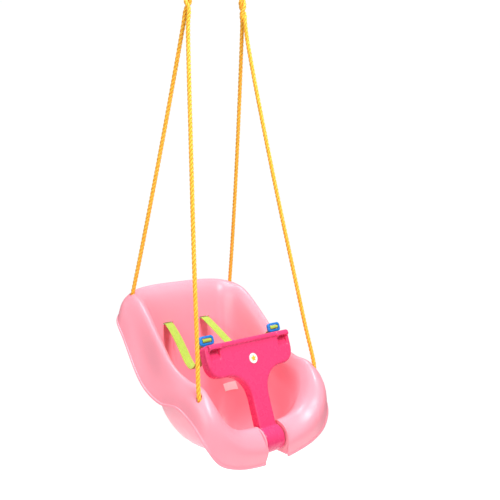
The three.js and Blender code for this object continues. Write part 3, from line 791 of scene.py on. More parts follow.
@dataclass
class BucketSeat:
    """The one-piece bucket: rolled rim, skirt, tub, notch for the T-bar, strap slots and rope eyes."""

    palette: Palette
    wall: float = 4.0
    back_extra: float = 2.8
    bead: float = 1.6
    bead_fades: tuple[float, float] = (0.085, 0.13)
    thickens: tuple[float, float] = (20, 130)
    channel_depth: float = 5.0
    channel_sides: tuple[float, float] = (17, 11.5)
    channel_foot: tuple[float, float] = (196, 250)
    channel_head: tuple[float, float] = (314, 309)
    channel_front: float = 60.0
    channel_level: float = 3.0
    notch_half: float = 32.0
    notch_back: float = -153.0
    notch_flare: float = 6.0
    lip_bottom: float = 47.0
    lip_radius: float = 34.5
    cheek_wall: float = 4.0
    eye_radius: float = 6.8
    eye_reach: float = 18.0
    pin_bore: float = 5.3
    slot_half: tuple[float, float, float] = (15.5, 20, 3)
    eyes: tuple[Point, ...] = ((180, -160, 222), (157, 147, 398))
    station_steps: tuple[int, ...] = (24, 10, 7, 7, 7, 7, 7, 7, 7, 7, 7, 8, 10)
    level_steps: tuple[int, ...] = (8, 8, 14, 16, 8, 5)
    skirt_levels: tuple[float, ...] = (0, 0.03, 0.06, 0.09, 0.11, 0.13, 0.17, 0.24, 0.36, 0.5, 0.66, 0.83)
    centre: Point = (0, -8, 31)
    rails: tuple[tuple[Point, ...], ...] = (
        # the skirt's lower edge, from the middle of the back to the middle of the front
        ((0, 200, 360), (88, 199, 359), (158, 190, 350), (198, 152, 338), (206, 108, 300), (207, 28, 209),
         (206, -46, 182), (203, -110, 188), (199, -160, 164), (190, -199, 121), (165, -211, 84),
         (115, -216, 61), (40, -216, 48), (0, -216, 47)),
        # the shoulder
        ((0, 192, 396), (88, 191, 395), (150, 181, 390), (181, 153, 380), (191, 106, 344), (191, 24, 250),
         (191, -42, 221), (190, -106, 221), (189, -156, 214), (176, -196, 186), (146, -216, 140),
         (100, -222, 104), (40, -221, 88), (0, -221, 88)),
        # the ridge of the rolled rim
        ((0, 170, 415), (80, 169, 414), (132, 161, 409), (156, 137, 402), (166, 98, 389), (172, 15, 321),
         (170, -45, 266), (165, -102, 242), (163, -150, 236), (154, -180, 204), (126, -189, 158),
         (92, -188, 134), (40, -186, 126), (0, -186, 126)),
        # the rim's inner side
        ((0, 152, 396), (76, 151, 395), (118, 144, 390), (139, 120, 381), (149, 84, 367), (156, 10, 301),
         (154, -45, 246), (150, -96, 224), (147, -138, 214), (137, -159, 182), (111, -161, 140),
         (80, -158, 118), (38, -154, 108), (0, -154, 108)),
        # the tub's wall
        ((0, 128, 262), (72, 127, 262), (108, 120, 258), (126, 98, 250), (136, 64, 235), (142, 5, 205),
         (142, -45, 177), (139, -88, 162), (134, -120, 154), (122, -140, 140), (102, -148, 114),
         (76, -151, 98), (36, -149, 92), (0, -149, 92)),
        # the turn into the floor
        ((0, 100, 96), (58, 99, 96), (90, 90, 97), (104, 68, 97), (110, 40, 95), (113, 0, 91),
         (113, -40, 86), (110, -76, 86), (103, -100, 86), (91, -115, 83), (77, -125, 77),
         (58, -130, 71), (30, -132, 69), (0, -132, 69)),
        # the floor
        ((0, 50, 32), (30, 48, 32), (48, 42, 33), (57, 30, 33), (61, 16, 34), (62, -4, 34),
         (62, -24, 36), (61, -44, 38), (58, -58, 40), (52, -68, 42), (42, -74, 43),
         (30, -78, 44), (15, -80, 44), (0, -80, 44)),
    )

    def sections(self, turns: np.ndarray) -> np.ndarray:
        """Points of every rail, and the centre, at each turn round the seat."""
        rows = []
        for half in self.rails:
            right = np.array(half, float)
            left = right[1:-1][::-1] * (-1, 1, 1)
            rows.append(smooth_curve(np.concatenate([right, left]), turns, closed=True))
        rows.append(np.broadcast_to(np.array(self.centre, float), rows[0].shape))
        return np.array(rows)

    def turns(self) -> np.ndarray:
        """Places round the seat, closer together across the back and at the notch."""
        spans = len(self.station_steps)
        half = [(index + step / count) / (2 * spans)
                for index, count in enumerate(self.station_steps) for step in range(count)]
        mirrored = [1 - place for place in half[1:]][::-1]
        return np.array([*half, 0.5, *mirrored])

    def levels(self) -> np.ndarray:
        """Places from the skirt's edge to the floor, closer together at the edge's bead."""
        spans = len(self.rails)
        first = [place / spans for place in self.skirt_levels]
        rest = [(index + 1 + step / count) / spans
                for index, count in enumerate(self.level_steps) for step in range(count)]
        return np.array(first + rest)

    def normals(self, grid: np.ndarray) -> np.ndarray:
        """Outward directions at every point of the grid."""
        down = np.gradient(grid, axis=0)
        around = np.roll(grid, -1, axis=1) - np.roll(grid, 1, axis=1)
        out = np.cross(around, down)
        out /= np.maximum(np.linalg.norm(out, axis=2, keepdims=True), 1e-9)
        return out if out[-1, 0, 2] > 0 else -out

    def shell(self) -> bpy.types.Object:
        """The whole moulding before anything is cut from it."""
        levels = self.levels()
        rail = levels * len(self.rails)
        grid = smooth_curve(self.sections(self.turns()), levels)
        out = self.normals(grid)
        edge = self.bead * (1 - ease(rail, *self.bead_fades))
        x, y, z = grid[..., 0], grid[..., 1], grid[..., 2]
        channel = ease(np.abs(np.abs(x) - SLOT_X), *self.channel_sides)
        channel = channel * ease(z, *self.channel_foot) * ease(z, *self.channel_head)
        channel = channel * (y > self.channel_front)
        channel *= (rail[:, None] > self.channel_level) * self.channel_depth
        upper = grid + out * (edge[:, None] - channel)[..., None]
        wall = self.wall + self.back_extra * ease(y, *self.thickens)
        lower = upper - out * wall[..., None]
        count, around = grid.shape[:2]
        top, bottom = count * around, 2 * count * around + 1
        centre = np.array(self.centre, float)
        under = centre - (0, 0, self.wall)
        points = np.concatenate([upper.reshape(-1, 3), [centre], lower.reshape(-1, 3), [under]])
        faces: list[tuple[int, ...]] = []
        for place in range(around):
            turn = (place + 1) % around
            for level in range(count - 1):
                a, b = level * around + place, level * around + turn
                faces.append((a, a + around, b + around, b))
                c, d = a + top + 1, b + top + 1
                faces.append((c, d, d + around, c + around))
            last = (count - 1) * around
            faces.append((last + place, top, last + turn))
            faces.append((last + place + top + 1, last + turn + top + 1, bottom))
            faces.append((place, turn, turn + top + 1, place + top + 1))
        return mesh_object("bucket_seat", points, faces)

    def cheek(self, side: Side) -> bpy.types.Object:
        """The wall that closes the rolled lip beside the notch."""
        back = self.notch_back + 2
        low = self.lip_bottom + 6
        reach = self.lip_radius
        outline = [(back, low), (back, LIP_Z)]
        for angle in np.linspace(0.12 * math.pi, math.pi, 24)[1:]:
            outline.append((LIP_Y + reach * math.cos(angle), LIP_Z + reach * math.sin(angle)))
        outline.append((LIP_Y - reach + 6, low))
        inner = self.notch_half * side.value
        outer = (self.notch_half + self.cheek_wall) * side.value
        return prism("cheek", outline, 0, min(inner, outer), max(inner, outer))

    def boss(self, side: Side) -> bpy.types.Object:
        """The thickening of a cheek round the hinge pin."""
        near, far = self.notch_half, self.notch_half + self.cheek_wall + 3
        return turned("boss", [(12, near * side.value), (12, far * side.value)], (0, LIP_Y, LIP_Z))

    def notch(self) -> bpy.types.Object:
        """The space cut from the lip for the T-bar's knuckle, flared at its lower corners."""
        half, flared = self.notch_half, self.notch_half + self.notch_flare
        low = self.lip_bottom - 12
        outline = [(-flared, low), (flared, low), (half + 1.2, 66), (half, 74), (half, 190),
                   (-half, 190), (-half, 74), (-half - 1.2, 66)]
        return prism("notch", outline, 1, LIP_Y - 90, self.notch_back)

    def cutters(self) -> list[bpy.types.Object]:
        """The hinge pin's bore, the strap slots and the rope eyes."""
        made = [turned("bore", [(self.pin_bore, -80), (self.pin_bore, 80)], (0, LIP_Y, LIP_Z))]
        half = np.array(self.slot_half)
        for side in Side:
            middle = np.array([SLOT_X * side.value, SLOT_Y, SLOT_Z])
            made.append(rounded(box("slot", tuple(middle - half), tuple(middle + half)), 1.5))
            r = self.eye_radius
            for ex, ey, ez in self.eyes:
                outline = [(ex * side.value + r * math.cos(a), ey + r * math.sin(a)) for a in round_angles(32)]
                made.append(prism("eye", outline, 2, ez - self.eye_reach, ez + self.eye_reach))
        return made

    def build(self) -> bpy.types.Object:
        """The finished bucket."""
        seat = combine(self.shell(), [self.notch()], "DIFFERENCE")
        extras = [make(side) for side in Side for make in (self.cheek, self.boss)]
        combine(seat, extras, "UNION")
        combine(seat, self.cutters(), "DIFFERENCE")
        placed(seat)
        return dress(seat, self.palette.seat, Slot.SEAT, Body.SWING.value, "bucket", sharp=42)


@dataclass
class BlankLabel:
    """A blank label that follows the tub's inner wall."""

    palette: Palette
    seat: BucketSeat
    corners: tuple[tuple[float, float], ...] = ((1.97, 4.77), (3.25, 4.68), (2.2, 4.9), (3.6, 4.8))
    lift: float = 0.5
    thick: float = 0.3
    nudge: float = 0.05

    def surface(self, turn: float, level: float) -> np.ndarray:
        """The tub's wall at a turn, in points of the half rail, and a level, in rails."""
        section = self.seat.sections(np.array([turn / (2 * len(self.seat.station_steps))]))
        return smooth_curve(section, np.array([level / len(self.seat.rails)]))[0, 0]

    def column(self, across: float) -> np.ndarray:
        """The label's outline at one place across it."""
        first, second, third, fourth = (np.array(corner) for corner in self.corners)
        upper, lower = first + (second - first) * across, third + (fourth - third) * across
        near, far = [], []
        for down in np.linspace(0, 1, 9):
            turn, level = upper + (lower - upper) * down
            point = self.surface(turn, level)
            below = self.surface(turn, level + self.nudge) - point
            beside = self.surface(turn + self.nudge, level) - point
            out = np.cross(below, beside)
            out /= np.linalg.norm(out)
            near.append(point + out * self.lift)
            far.append(point + out * (self.lift + self.thick))
        return np.array(near + far[::-1])

    def build(self) -> bpy.types.Object:
        """The finished label."""
        columns = [self.column(across) for across in np.linspace(0, 1, 21)]
        made = rings_mesh("blank_label_sheet", np.array(columns))
        return dress(placed(made), self.palette.label, Slot.LABEL, Body.SWING.value, "blank_label")


@dataclass
class HingePin:
    """The pin through the lip's cheeks and the T-bar's knuckle, and the cap on its end."""

    palette: Palette
    radius: float = 5.0
    half: float = 42.0
    head: float = 9.0

    def build(self) -> None:
        """Makes the pin and its cap."""
        r, h, head = self.radius, self.half, self.head
        pin = [(TIP, -h - 2), (head - 1.5, -h - 2), (head, -h - 1), (head, -h + 0.4), (head - 0.6, -h + 1),
               (r, -h + 1), (r, h - 0.6), (r - 0.6, h), (TIP, h)]
        cap = [(TIP, h + 1), (r + 0.3, h + 0.7), (r + 0.3, h - 3), (head - 0.6, h - 3), (head, h - 2.4),
               (head, h + 3.6), (head - 1.6, h + 5), (TIP, h + 5)]
        for node, profile in (("hinge_pin", pin), ("hinge_pin_cap", cap)):
            made = placed(turned(f"{node}_turned", profile, (0, LIP_Y, LIP_Z)))
            dress(made, self.palette.bar, Slot.BAR, Body.SWING.value, node)


# ---------- T-bar ----------


@dataclass
class TBar:
    """The fold-down bar: stem, knuckle, crossbar with a rounded ledge, and a hooded scoop at each buckle."""

    palette: Palette
    half_depth: float = 14.0
    edge: float = 5.5
    half_width: float = 130.0
    top: float = 238.0
    under: float = 159.0
    stem: float = 25.0
    knuckle_radius: float = 30.0
    knuckle_half: float = 28.0
    grain: float = 1.25
    ledge_half: float = 92.0
    hood_half: float = 18.0
    scoop_half: float = 14.0
    pocket_half: float = 16.0
    pin_bore: float = 5.6
    low_corner: float = 40.0
    top_corner: float = 15.0

    def outline(self) -> list[tuple[float, float]]:
        """The bar's front view, across and up from the hinge."""
        def corner(*ends: tuple[float, float]) -> list[tuple[float, float]]:
            """A rounded corner: where it starts, the corner it rounds and where it ends."""
            return [tuple((1 - t) ** 2 * a + 2 * t * (1 - t) * b + t * t * c for a, b, c in zip(*ends))
                    for t in np.linspace(0, 1, 10)]

        w, top, low, s = self.half_width, self.top, self.under, self.stem
        flare = [((1 - t) ** 3 * s + 3 * t * (1 - t) ** 2 * s + 3 * t * t * (1 - t) * 50 + t**3 * 82,
                  (1 - t) ** 3 * 96 + 3 * t * (1 - t) ** 2 * 134 + (3 * t * t * (1 - t) + t**3) * low)
                 for t in np.linspace(0, 1, 22)]
        r, t = self.low_corner, self.top_corner
        right = [(s, 0), *flare, *corner((w - r, low), (w, low), (w, low + r + 2)),
                 *corner((w, top - t), (w, top), (w - t, top))]
        return right + [(-x, z) for x, z in reversed(right)]

    def plate(self) -> bpy.types.Object:
        """The bar's body with rounded edges."""
        made = prism("t_bar_moulding", self.outline(), 1, -self.half_depth, self.half_depth)
        return rounded(made, self.edge, 4)

    def hood(self, side: Side) -> bpy.types.Object:
        """The ramp that stands over a buckle's scoop."""
        front = -self.half_depth
        middle = BUCKLE_X * side.value
        outline = [(front + 6, 237.5), (front - 4, 237.5), (front - 8.5, 234), (front - 9.5, 227),
                   (front - 7, 224), (front, 221), (front + 6, 221)]
        return prism("hood", outline, 0, middle - self.hood_half, middle + self.hood_half)

    def scoop(self, side: Side) -> bpy.types.Object:
        """The scoop below the hood: deep under it, and running out to the face at its foot."""
        middle = BUCKLE_X * side.value
        front = -self.half_depth
        outline = [(front - 14, 226), (front + 10, 226), (front + 10, 216), (front - 0.5, 199),
                   (front - 14, 199)]
        return prism("scoop", outline, 0, middle - self.scoop_half, middle + self.scoop_half)

    def pocket(self, side: Side) -> bpy.types.Object:
        """The pocket that the buckle's tongue drops into, open at the top and the back."""
        middle = BUCKLE_X * side.value
        return box("pocket", (middle - self.pocket_half, -3, 216), (middle + self.pocket_half, 27, 276))

    def build(self) -> bpy.types.Object:
        """The finished T-bar."""
        bar = self.plate()
        k, h = self.knuckle_radius, self.knuckle_half
        knuckle = turned("knuckle", [(TIP, -h), (k - 2, -h), (k, -h + 2), (k, h - 2), (k - 2, h), (TIP, h)],
                         (0, 0, 0), 96)
        front, half = -self.half_depth, self.ledge_half
        low, high = (-half, front - 5, self.top - 12), (half, front + 8, self.top - 0.5)
        ledge = rounded(box("ledge", low, high), 3.5)
        combine(bar, [knuckle, ledge, *(self.hood(side) for side in Side)], "UNION")
        cutters = [make(side) for side in Side for make in (self.scoop, self.pocket)]
        bore = turned("bore", [(self.pin_bore, -60), (self.pin_bore, 60)], (0, 0, 0))
        combine(bar, [*cutters, bore], "DIFFERENCE")
        moulded(bar, self.grain * (1), 9)
        placed(bar, BAR_FRAME)
        return dress(bar, self.palette.bar, Slot.BAR, Body.T_BAR.value, "t_bar", sharp=180)


@dataclass
class Badge:
    """A plain round badge with a raised five-petal flower, on the front of the crossbar."""

    palette: Palette
    radius: float = 12.0
    thick: float = 2.0
    height: float = 187.0
    face: float = 14.3
    petal_reach: float = 5.6
    petal_swell: float = 1.7

    def disc(self) -> bpy.types.Object:
        """The badge's disc with a rounded rim."""
        r, t = self.radius, self.thick
        rim = [(TIP, 0), (r - 0.6, 0), (r, 0.5), (r, t - 0.7), (r - 0.8, t), (r - 1.6, t), (r - 2.2, t - 0.5),
               (TIP, t - 0.5)]
        made = turned("badge_disc", rim, (0, 0, 0), 64)
        made.data.transform(Matrix.Rotation(-math.pi / 2, 4, "Z"))
        return made

    def flower(self) -> bpy.types.Object:
        """The raised flower."""
        angles = round_angles(120)
        rings = []
        for share, lift in ((1.0, 0.0), (1.0, 0.45), (0.93, 0.75), (0.6, 0.85), (0.25, 0.9)):
            reach = (self.petal_reach + self.petal_swell * np.cos(5 * angles)) * share
            rings.append(np.stack([reach * np.sin(angles), np.full_like(angles, -self.thick + 0.6 - lift),
                                   reach * np.cos(angles)], axis=1))
        return rings_mesh("badge_flower", np.array(rings))

    def build(self) -> None:
        """Makes the disc and the flower."""
        local = BAR_FRAME @ Matrix.Translation((0, -self.face, self.height))
        dress(placed(self.disc(), local), self.palette.disc, Slot.BADGE, Body.T_BAR.value, "badge")
        dress(placed(self.flower(), local), self.palette.flower, Slot.BADGE, Body.T_BAR.value)


# ---------- buckles and straps ----------


@dataclass
class Buckle:
    """A moulded buckle: a frame with a webbing bar, and a tongue for the T-bar's pocket."""

    palette: Palette
    side: Side
    half_width: float = 20.0
    half_height: float = 11.0
    half_depth: float = 3.5
    bar_radius: float = 2.2
    bar_half: float = 15.5
    corner: float = 7.0
    window: tuple[float, float, float] = (14, 5.5, 2)
    tongue: tuple[Point, Point] = ((-12, -2, -27), (12, 2, -9))

    def ring_outline(self, w: float, h: float, r: float) -> list[tuple[float, float]]:
        """A rectangle with round corners.

        Args:
            w: half its width.
            h: half its height.
            r: the radius of its corners.

        Returns:
            Its points, across and up.
        """
        points = []
        x, z = w - r, h - r
        for cx, cz, start in ((x, z, 0), (-x, z, 90), (-x, -z, 180), (x, -z, 270)):
            for step in range(7):
                angle = math.radians(start + step * 15)
                points.append((cx + r * math.cos(angle), cz + r * math.sin(angle)))
        return points

    def build(self) -> bpy.types.Object:
        """The finished buckle."""
        d = self.half_depth
        name = f"{self.side.word}_buckle_moulding"
        body = prism(name, self.ring_outline(self.half_width, self.half_height, self.corner), 1, -d, d)
        rounded(body, 1.8)
        window = prism("window", self.ring_outline(*self.window), 1, -d - 5, d + 5)
        combine(body, [window], "DIFFERENCE")
        rounded(body, 0.5, 2)
        ends = [(self.bar_radius, place) for place in (-self.bar_half, self.bar_half)]
        bar = turned("webbing_bar", ends, (0, 0, 0), 24)
        tongue = rounded(box("tongue", *self.tongue), 0.9)
        combine(body, [bar, tongue], "UNION")
        local = BAR_FRAME @ Matrix.Translation((BUCKLE_X * self.side.value, BUCKLE_BACK, BUCKLE_UP))
        placed(body, local)
        return dress(body, self.palette.buckle, Slot.BUCKLE, f"{self.side.word}_buckle",
                     f"{self.side.word}_buckle", sharp=45)


@dataclass
class ShoulderStrap:
    """A webbing strap from its slot in the backrest to the buckle, with its end and the stop behind."""

    palette: Palette
    side: Side
    stitches: NodeTool
    width: float = 25.0
    thick: float = 1.8
    loop_clear: float = 1.5
    stitched: tuple[float, float] = (0.86, 0.955)
    stitch_half: float = 9.0
    stitch_rows: int = 9
    route: tuple[tuple[float, float], ...] = (
        (132, 315), (118, 308), (82, 286), (48, 263), (15, 242), (-16, 236), (-44, 251), (-66, 287),
        (-75, 306))

    @property
    def buckle_point(self) -> tuple[float, float]:
        """The middle of the buckle's webbing bar, as (y, z)."""
        point = BAR_FRAME @ Vector((0, BUCKLE_BACK, BUCKLE_UP))
        return point.y, point.z

    def loop(self) -> list[tuple[float, float]]:
        """The loop round the webbing bar, as (y, z)."""
        y, z = self.buckle_point
        radius = Buckle.bar_radius + self.loop_clear
        angles = [-0.55 * math.pi - step / 6 * 1.25 * math.pi for step in range(7)]
        return [(y + radius * math.cos(angle), z + radius * math.sin(angle)) for angle in angles]

    def spread(self, y: np.ndarray) -> np.ndarray:
        """How far across the strap lies at each place."""
        share = np.clip((SLOT_Y - y) / (SLOT_Y - self.buckle_point[0] - 8), 0, 1) ** 1.4
        return self.side.value * (SLOT_X + (BUCKLE_X - SLOT_X) * share)

    def faces(self, line: np.ndarray) -> np.ndarray:
        """The direction that the webbing's face looks in at each point of a line."""
        return np.cross(unit_rows(np.gradient(line, axis=0)), [1, 0, 0])

    def ribbon(self, name: str, route: Sequence[tuple[float, float]],
               across: Callable[[np.ndarray], np.ndarray], steps: int) -> bpy.types.Object:
        """A strip of webbing along a side view.

        Args:
            name: the piece's name.
            route: the side view's points, as (y, z).
            across: the strip's middle across the seat, from y.
            steps: how many steps from one point to the next.

        Returns:
            The strip, with its UV map in metres.
        """
        line = stepped_curve([(0, y, z) for y, z in route], steps)
        up = self.faces(line)
        half, t = self.width / 2, self.thick / 2
        upper = [(-half + 0.5, t * 0.8), (-half + 1.4, t), (half - 1.4, t), (half - 0.5, t * 0.8)]
        outline = [(-half, 0), *upper, (half, 0), *((x, -lift) for x, lift in reversed(upper))]
        rings = []
        for point, direction in zip(line, up):
            middle = np.array([float(across(point[1:2])[0]), point[1], point[2]])
            rings.append([middle + (x, 0, 0) + direction * lift for x, lift in outline])
        obj = rings_mesh(name, np.array(rings))
        along = np.concatenate([[0], np.cumsum(np.linalg.norm(np.diff(line, axis=0), axis=1))]) / 1000
        places = [(x / 1000, far) for far in along for x, lift in outline]
        layer = obj.data.uv_layers.new(name="weave")
        for loop in obj.data.loops:
            layer.data[loop.index].uv = places[loop.vertex_index]
        return placed(obj)

    def stitch_block(self) -> bpy.types.Object:
        """Rows of stitches that hold the loop's end to the strap, below the buckle."""
        route = np.array([(0, y, z) for y, z in self.route], float)
        line = smooth_curve(route, np.linspace(*self.stitched, self.stitch_rows))
        face = self.faces(line)
        middle = self.spread(line[:, 1])
        rows = []
        for index in range(0, self.stitch_rows, 2):
            reach = self.stitch_half if index % 4 == 0 else -self.stitch_half
            for x in np.linspace(-reach, reach, 7):
                point = np.array([middle[index] + x, line[index, 1], line[index, 2]])
                rows.append(point + face[index] * self.thick * 0.5)
        carrier = line_object(f"{self.side.word}_stitches", to_row(np.array(rows)))
        return self.stitches.run(carrier, Stitch_Length=0.0024, Stitch_Gap=0.0008, Thread_Radius=0.00035,
                                 Material=self.palette.thread)

    def build(self) -> None:
        """Makes the strap, its stitches, its end in the slot and the stop."""
        word = self.side.word
        strap = self.ribbon(f"{word}_shoulder_strap", [*self.route, *self.loop()], self.spread, 6)
        strap.data.materials.append(self.palette.webbing)
        strap.data.shade_smooth()
        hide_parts(f"{word}_strap")
        x = SLOT_X * self.side.value
        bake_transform(strap)
        log.info("%s: %d faces on %s_strap", strap.name, len(strap.data.polygons), word)
        dress(self.stitch_block(), self.palette.thread, Slot.WEBBING, f"{word}_strap")
        end_route = [(133, 315), (142, 315), (151, 314)]
        anchor = self.ribbon(f"{word}_strap_end", end_route, lambda y: y * 0 + x, 6)
        dress(anchor, self.palette.webbing, Slot.WEBBING, Body.SWING.value, f"{word}_strap_anchor")
        stop = turned(f"{word}_strap_toggle", [
            (TIP, -22.5), (2.6, -22.3), (3.7, -21), (4, -19), (4, 19), (3.7, 21), (2.6, 22.3), (TIP, 22.5)],
            (x, SLOT_Y + 18.3, SLOT_Z - 1), 32)
        dress(placed(stop), self.palette.buckle, Slot.BUCKLE, Body.SWING.value, f"{word}_strap_stop")


# ---------- ropes, rings and hooks ----------


@dataclass
class RopeBridle:
    """One side's rope from the front eye over its ring to the back eye, with all that holds it."""

    palette: Palette
    side: Side
    lay: NodeTool
    diameter: float = 9.5
    offset_share: float = 0.52
    strand_share: float = 0.6
    lay_length: float = 31.0
    ring_x: float = 74.0
    ring_z: float = 1185.0
    rod_radius: float = 4.0
    knots: tuple[tuple[str, Point], ...] = (
        ("front_knot", (174.5, -163, 195.5)), ("back_knot", (158.5, 149.5, 372.5)))
    route: tuple[Point, ...] = (
        (177, -161.6, 207), (180, -160, 222), (167.5, -136.7, 330), (148.2, -100.8, 500),
        (130.6, -70.2, 650), (113.7, -41, 800), (97.7, -13.1, 950), (88.5, 1.5, 1040), (85, 3.8, 1075),
        (88.7, 9, 1090), (82, 14.2, 1105), (75.3, 9, 1120), (79, 3.8, 1135), (77.3, 3.6, 1150),
        (74.3, -8.6, 1168), (74, -14, 1185), (74, -7.3, 1201.3), (74, 9, 1208), (74, 25.3, 1201.3),
        (74, 32, 1185), (74.3, 26.6, 1168), (77.3, 14.4, 1150), (79, 14.2, 1135), (85.7, 9, 1120),
        (82, 3.8, 1105), (78.3, 9, 1090), (85, 14.2, 1075), (88.7, 19.8, 1040), (98.3, 35.5, 950),
        (114.2, 63.2, 800), (130.2, 92.8, 650), (146.1, 124.3, 500), (157, 147, 398), (158.5, 149.5, 384))

    def mirrored(self, points: Sequence[Point]) -> np.ndarray:
        """Points of the right side carried to this side."""
        return np.array(points, float) * (self.side.value, 1, 1)

    def strands(self, name: str, path: np.ndarray, closed: bool = False) -> bpy.types.Object:
        """Three strands laid round a path in the row frame."""
        carrier = line_object(name, path, closed)
        radius = self.diameter / 2000
        return self.lay.run(
            carrier, Strand_Offset=radius * self.offset_share, Strand_Radius=radius * self.strand_share,
            Lay_Length=self.lay_length / 1000, Strands=3, Material=self.palette.rope)

    def rope(self) -> bpy.types.Object:
        """The rope itself, with its knots, its ring and its seizing."""
        word = self.side.word
        fine = stepped_curve(self.mirrored(self.route), 24)
        path = evenly(to_row(fine), 0.003)
        made = self.strands(f"{word}_bridle_rope", path)
        dress(made, self.palette.rope, Slot.ROPE, Body.SWING.value, f"{word}_rope", sharp=60)
        parts = [self.knot(name, place) for name, place in self.knots] + [self.ring(), self.seizing()]
        return made

    def knot(self, name: str, centre: Point) -> bpy.types.Object:
        """The stopper knot under an eye."""
        word = self.side.word
        turn = round_angles(72)
        wide, tall = 2.3, 5.0
        curl = np.stack([wide * (np.sin(turn) + 2 * np.sin(2 * turn)),
                         wide * (np.cos(turn) - 2 * np.cos(2 * turn)), -tall * np.sin(3 * turn)], axis=1)
        middle = self.mirrored([centre])
        made = self.strands(f"{word}_{name}_tied", to_row(curl + middle), closed=True)
        return dress(made, self.palette.rope, Slot.ROPE, Body.SWING.value, f"{word}_{name}", sharp=60)

    def ring(self) -> bpy.types.Object:
        """The grooved ring that the rope passes over."""
        word = self.side.word
        groove, middle = 5.4, 23.0
        outer = [(24, -7.0), (24, -6.0), (23.6, -5.6)]
        outer += [(middle - groove * math.sin(a), -groove * math.cos(a))
                  for a in np.linspace(0.08, 0.92, 14) * math.pi]
        outer += [(23.6, 5.6), (24, 6.0), (24, 7.0), (23.5, 7.5)]
        inner = [(16.4, 7.5), (14.4, 6.4), (12.9, 4.2), (12.2, 2), (12, 0), (12.2, -2), (12.9, -4.2),
                 (14.4, -6.4), (16.4, -7.5), (23.5, -7.5)]
        centre = (self.ring_x * self.side.value, 9, self.ring_z)
        made = turned(f"{word}_grooved_ring", outer + inner, centre, 72, closed=True)
        return dress(placed(made), self.palette.ring, Slot.RING, Body.SWING.value, f"{word}_ring", sharp=50)

    def seizing(self) -> bpy.types.Object:
        """Twine wound tightly round the rope and its own return, below the ring."""
        word = self.side.word
        turns, radius, half = 8, 6.2, 5.3
        around = np.linspace(0, turns, turns * 28 + 1)
        angle = 2 * math.pi * around
        straight = half * np.tanh(3.2 * np.cos(angle))
        up = -5.1 + 10.2 * around / turns
        path = np.stack([radius * np.sin(angle), straight + radius * np.cos(angle), up], axis=1)
        sign = self.side.value
        lean = Matrix.Translation((78.1 * sign, 9, 1142.5)) @ Matrix.Rotation(-0.11 * sign, 4, "Y")
        made = placed(tube(f"{word}_twine_seizing", path, 0.72, 8), lean)
        return dress(made, self.palette.twine, Slot.ROPE, Body.SWING.value, f"{word}_seizing", sharp=60)

    def hook(self) -> bpy.types.Object:
        """The S-hook of bent rod."""
        word = self.side.word
        bend, low, high = 14.0, 1206.2, 1238.0
        c = math.sqrt(0.5) * bend
        route = [(-bend, low + 6), (-bend, low), (-c, low - c), (0, low - bend), (c, low - c), (bend, low),
                 (bend * 0.62, low + 12), (-bend * 0.62, high - 12), (-bend, high), (-c, high + c),
                 (0, high + bend), (c, high + c), (bend, high), (bend, high - 6)]
        points = np.array([(self.side.value * (self.ring_x + x), 9, z) for x, z in route], float)
        made = rounded(tube(f"{word}_bent_hook", stepped_curve(points, 9), self.rod_radius, 24), 0.8)
        return dress(placed(made), self.palette.steel, Slot.STEEL, Body.HOOKS.value, f"{word}_hook", sharp=50)

    def build(self) -> None:
        """Makes the rope with its pieces, and the hook."""
        self.rope()
        self.hook()


# ---------- studio ----------


@dataclass(frozen=True)
class Lamp:
    """A square soft light: where it stands, the length of its side and its power in watts."""

    name: str
    place: Point
    size: float
    power: float


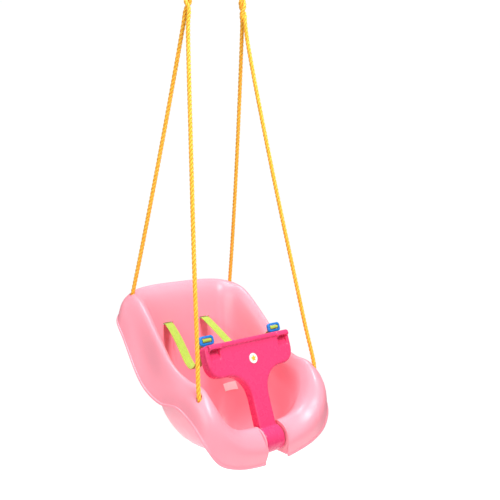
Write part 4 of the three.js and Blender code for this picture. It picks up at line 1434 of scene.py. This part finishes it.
@dataclass
class Studio:
    """The camera, the soft lights and the pale floor."""

    azimuth: float = -41.36
    elevation: float = 6.34
    distance: float = 1.6443
    roll: float = 0.40
    lens: float = 46.08
    target: Point = (0.10337, -0.009, -0.74096)
    floor: float = -1.72
    floor_radius: float = 1.2
    floor_sides: int = 96
    floor_glow: float = 0.45
    lamps: tuple[Lamp, ...] = (
        Lamp("key", (0.1, -1.5, 0.75), 0.9, 44), Lamp("fill", (-2.5, -0.9, -0.2), 1.8, 36),
        Lamp("top", (0.0, 0.1, 1.2), 1.0, 36))
    lamps_face: Point = (0.0, 0.0, -0.95)
    sky: float = 0.22
    backdrop: float = 1.02

    def camera(self) -> None:
        """The camera at its place, level apart from a slight roll."""
        a, e, r = (math.radians(value) for value in (self.azimuth, self.elevation, self.roll))
        back = Vector((math.sin(a) * math.cos(e), -math.cos(a) * math.cos(e), math.sin(e)))
        right = Vector((math.cos(a), math.sin(a), 0))
        up = back.cross(right)
        turned_right = right * math.cos(r) + up * math.sin(r)
        turned_up = up * math.cos(r) - right * math.sin(r)
        data = bpy.data.cameras.new("camera")
        data.lens, data.sensor_width = self.lens, 36
        eye = in_scene("camera", data)
        place = Matrix((turned_right, turned_up, back)).transposed().to_4x4()
        place.translation = Vector(self.target) + back * self.distance
        eye.matrix_world = place
        bpy.context.scene.camera = eye

    def light(self, lamp: Lamp) -> None:
        """Puts one lamp in its place, facing the swing."""
        data = bpy.data.lights.new(lamp.name, "AREA")
        data.size, data.energy = lamp.size, lamp.power
        obj = in_scene(lamp.name, data)
        obj.location = lamp.place
        facing = Vector(self.lamps_face) - Vector(lamp.place)
        obj.rotation_euler = facing.to_track_quat("-Z", "Y").to_euler()

    def build(self) -> None:
        """The whole studio."""
        self.camera()
        bpy.context.scene.view_settings.view_transform = "Standard"
        world = bpy.data.worlds.new("studio")
        bpy.context.scene.world = world
        world.use_nodes = True
        background = world.node_tree.nodes["Background"]
        background.inputs["Color"].default_value = (1, 1, 1, 1)
        sky = NodeBuilder(world.node_tree)
        camera_ray = sky.node("ShaderNodeLightPath").outputs["Is Camera Ray"]
        shares = {"Value": camera_ray, "To Min": self.sky, "To Max": self.backdrop}
        seen = sky.node("ShaderNodeMapRange", shares)
        sky.feed(background.inputs["Strength"], seen.outputs["Result"])
        for lamp in self.lamps:
            self.light(lamp)
        disc = [(self.floor_radius * math.cos(a), self.floor_radius * math.sin(a), self.floor)
                for a in round_angles(self.floor_sides)]
        floor = mesh_object("floor", np.array(disc), [range(self.floor_sides)])
        surface = Surface("pale_floor")
        tint = surface.ramp(surface.noise(2, 3), [(0.3, (0.93, 0.93, 0.93)), (0.7, (0.95, 0.95, 0.95))])
        floor.data.materials.append(surface.put(
            Base_Color=tint, Roughness=0.9, Emission_Color=(1, 1, 1, 1), Emission_Strength=self.floor_glow))


def main() -> None:
    """Builds the studio, the ropes and then the rest of the swing."""
    logging.basicConfig(level=logging.INFO, format="%(message)s")
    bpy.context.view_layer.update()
    Studio().build()
    palette = Palette()
    lay = rope_lay_tool()
    stitches = stitch_tool()
    for side in Side:
        RopeBridle(palette, side, lay).build()
    seat = BucketSeat(palette)
    seat.build()
    BlankLabel(palette, seat).build()
    HingePin(palette).build()
    TBar(palette).build()
    Badge(palette).build()
    for side in Side:
        ShoulderStrap(palette, side, stitches).build()
        Buckle(palette, side).build()


if __name__ == "__main__":
    main()
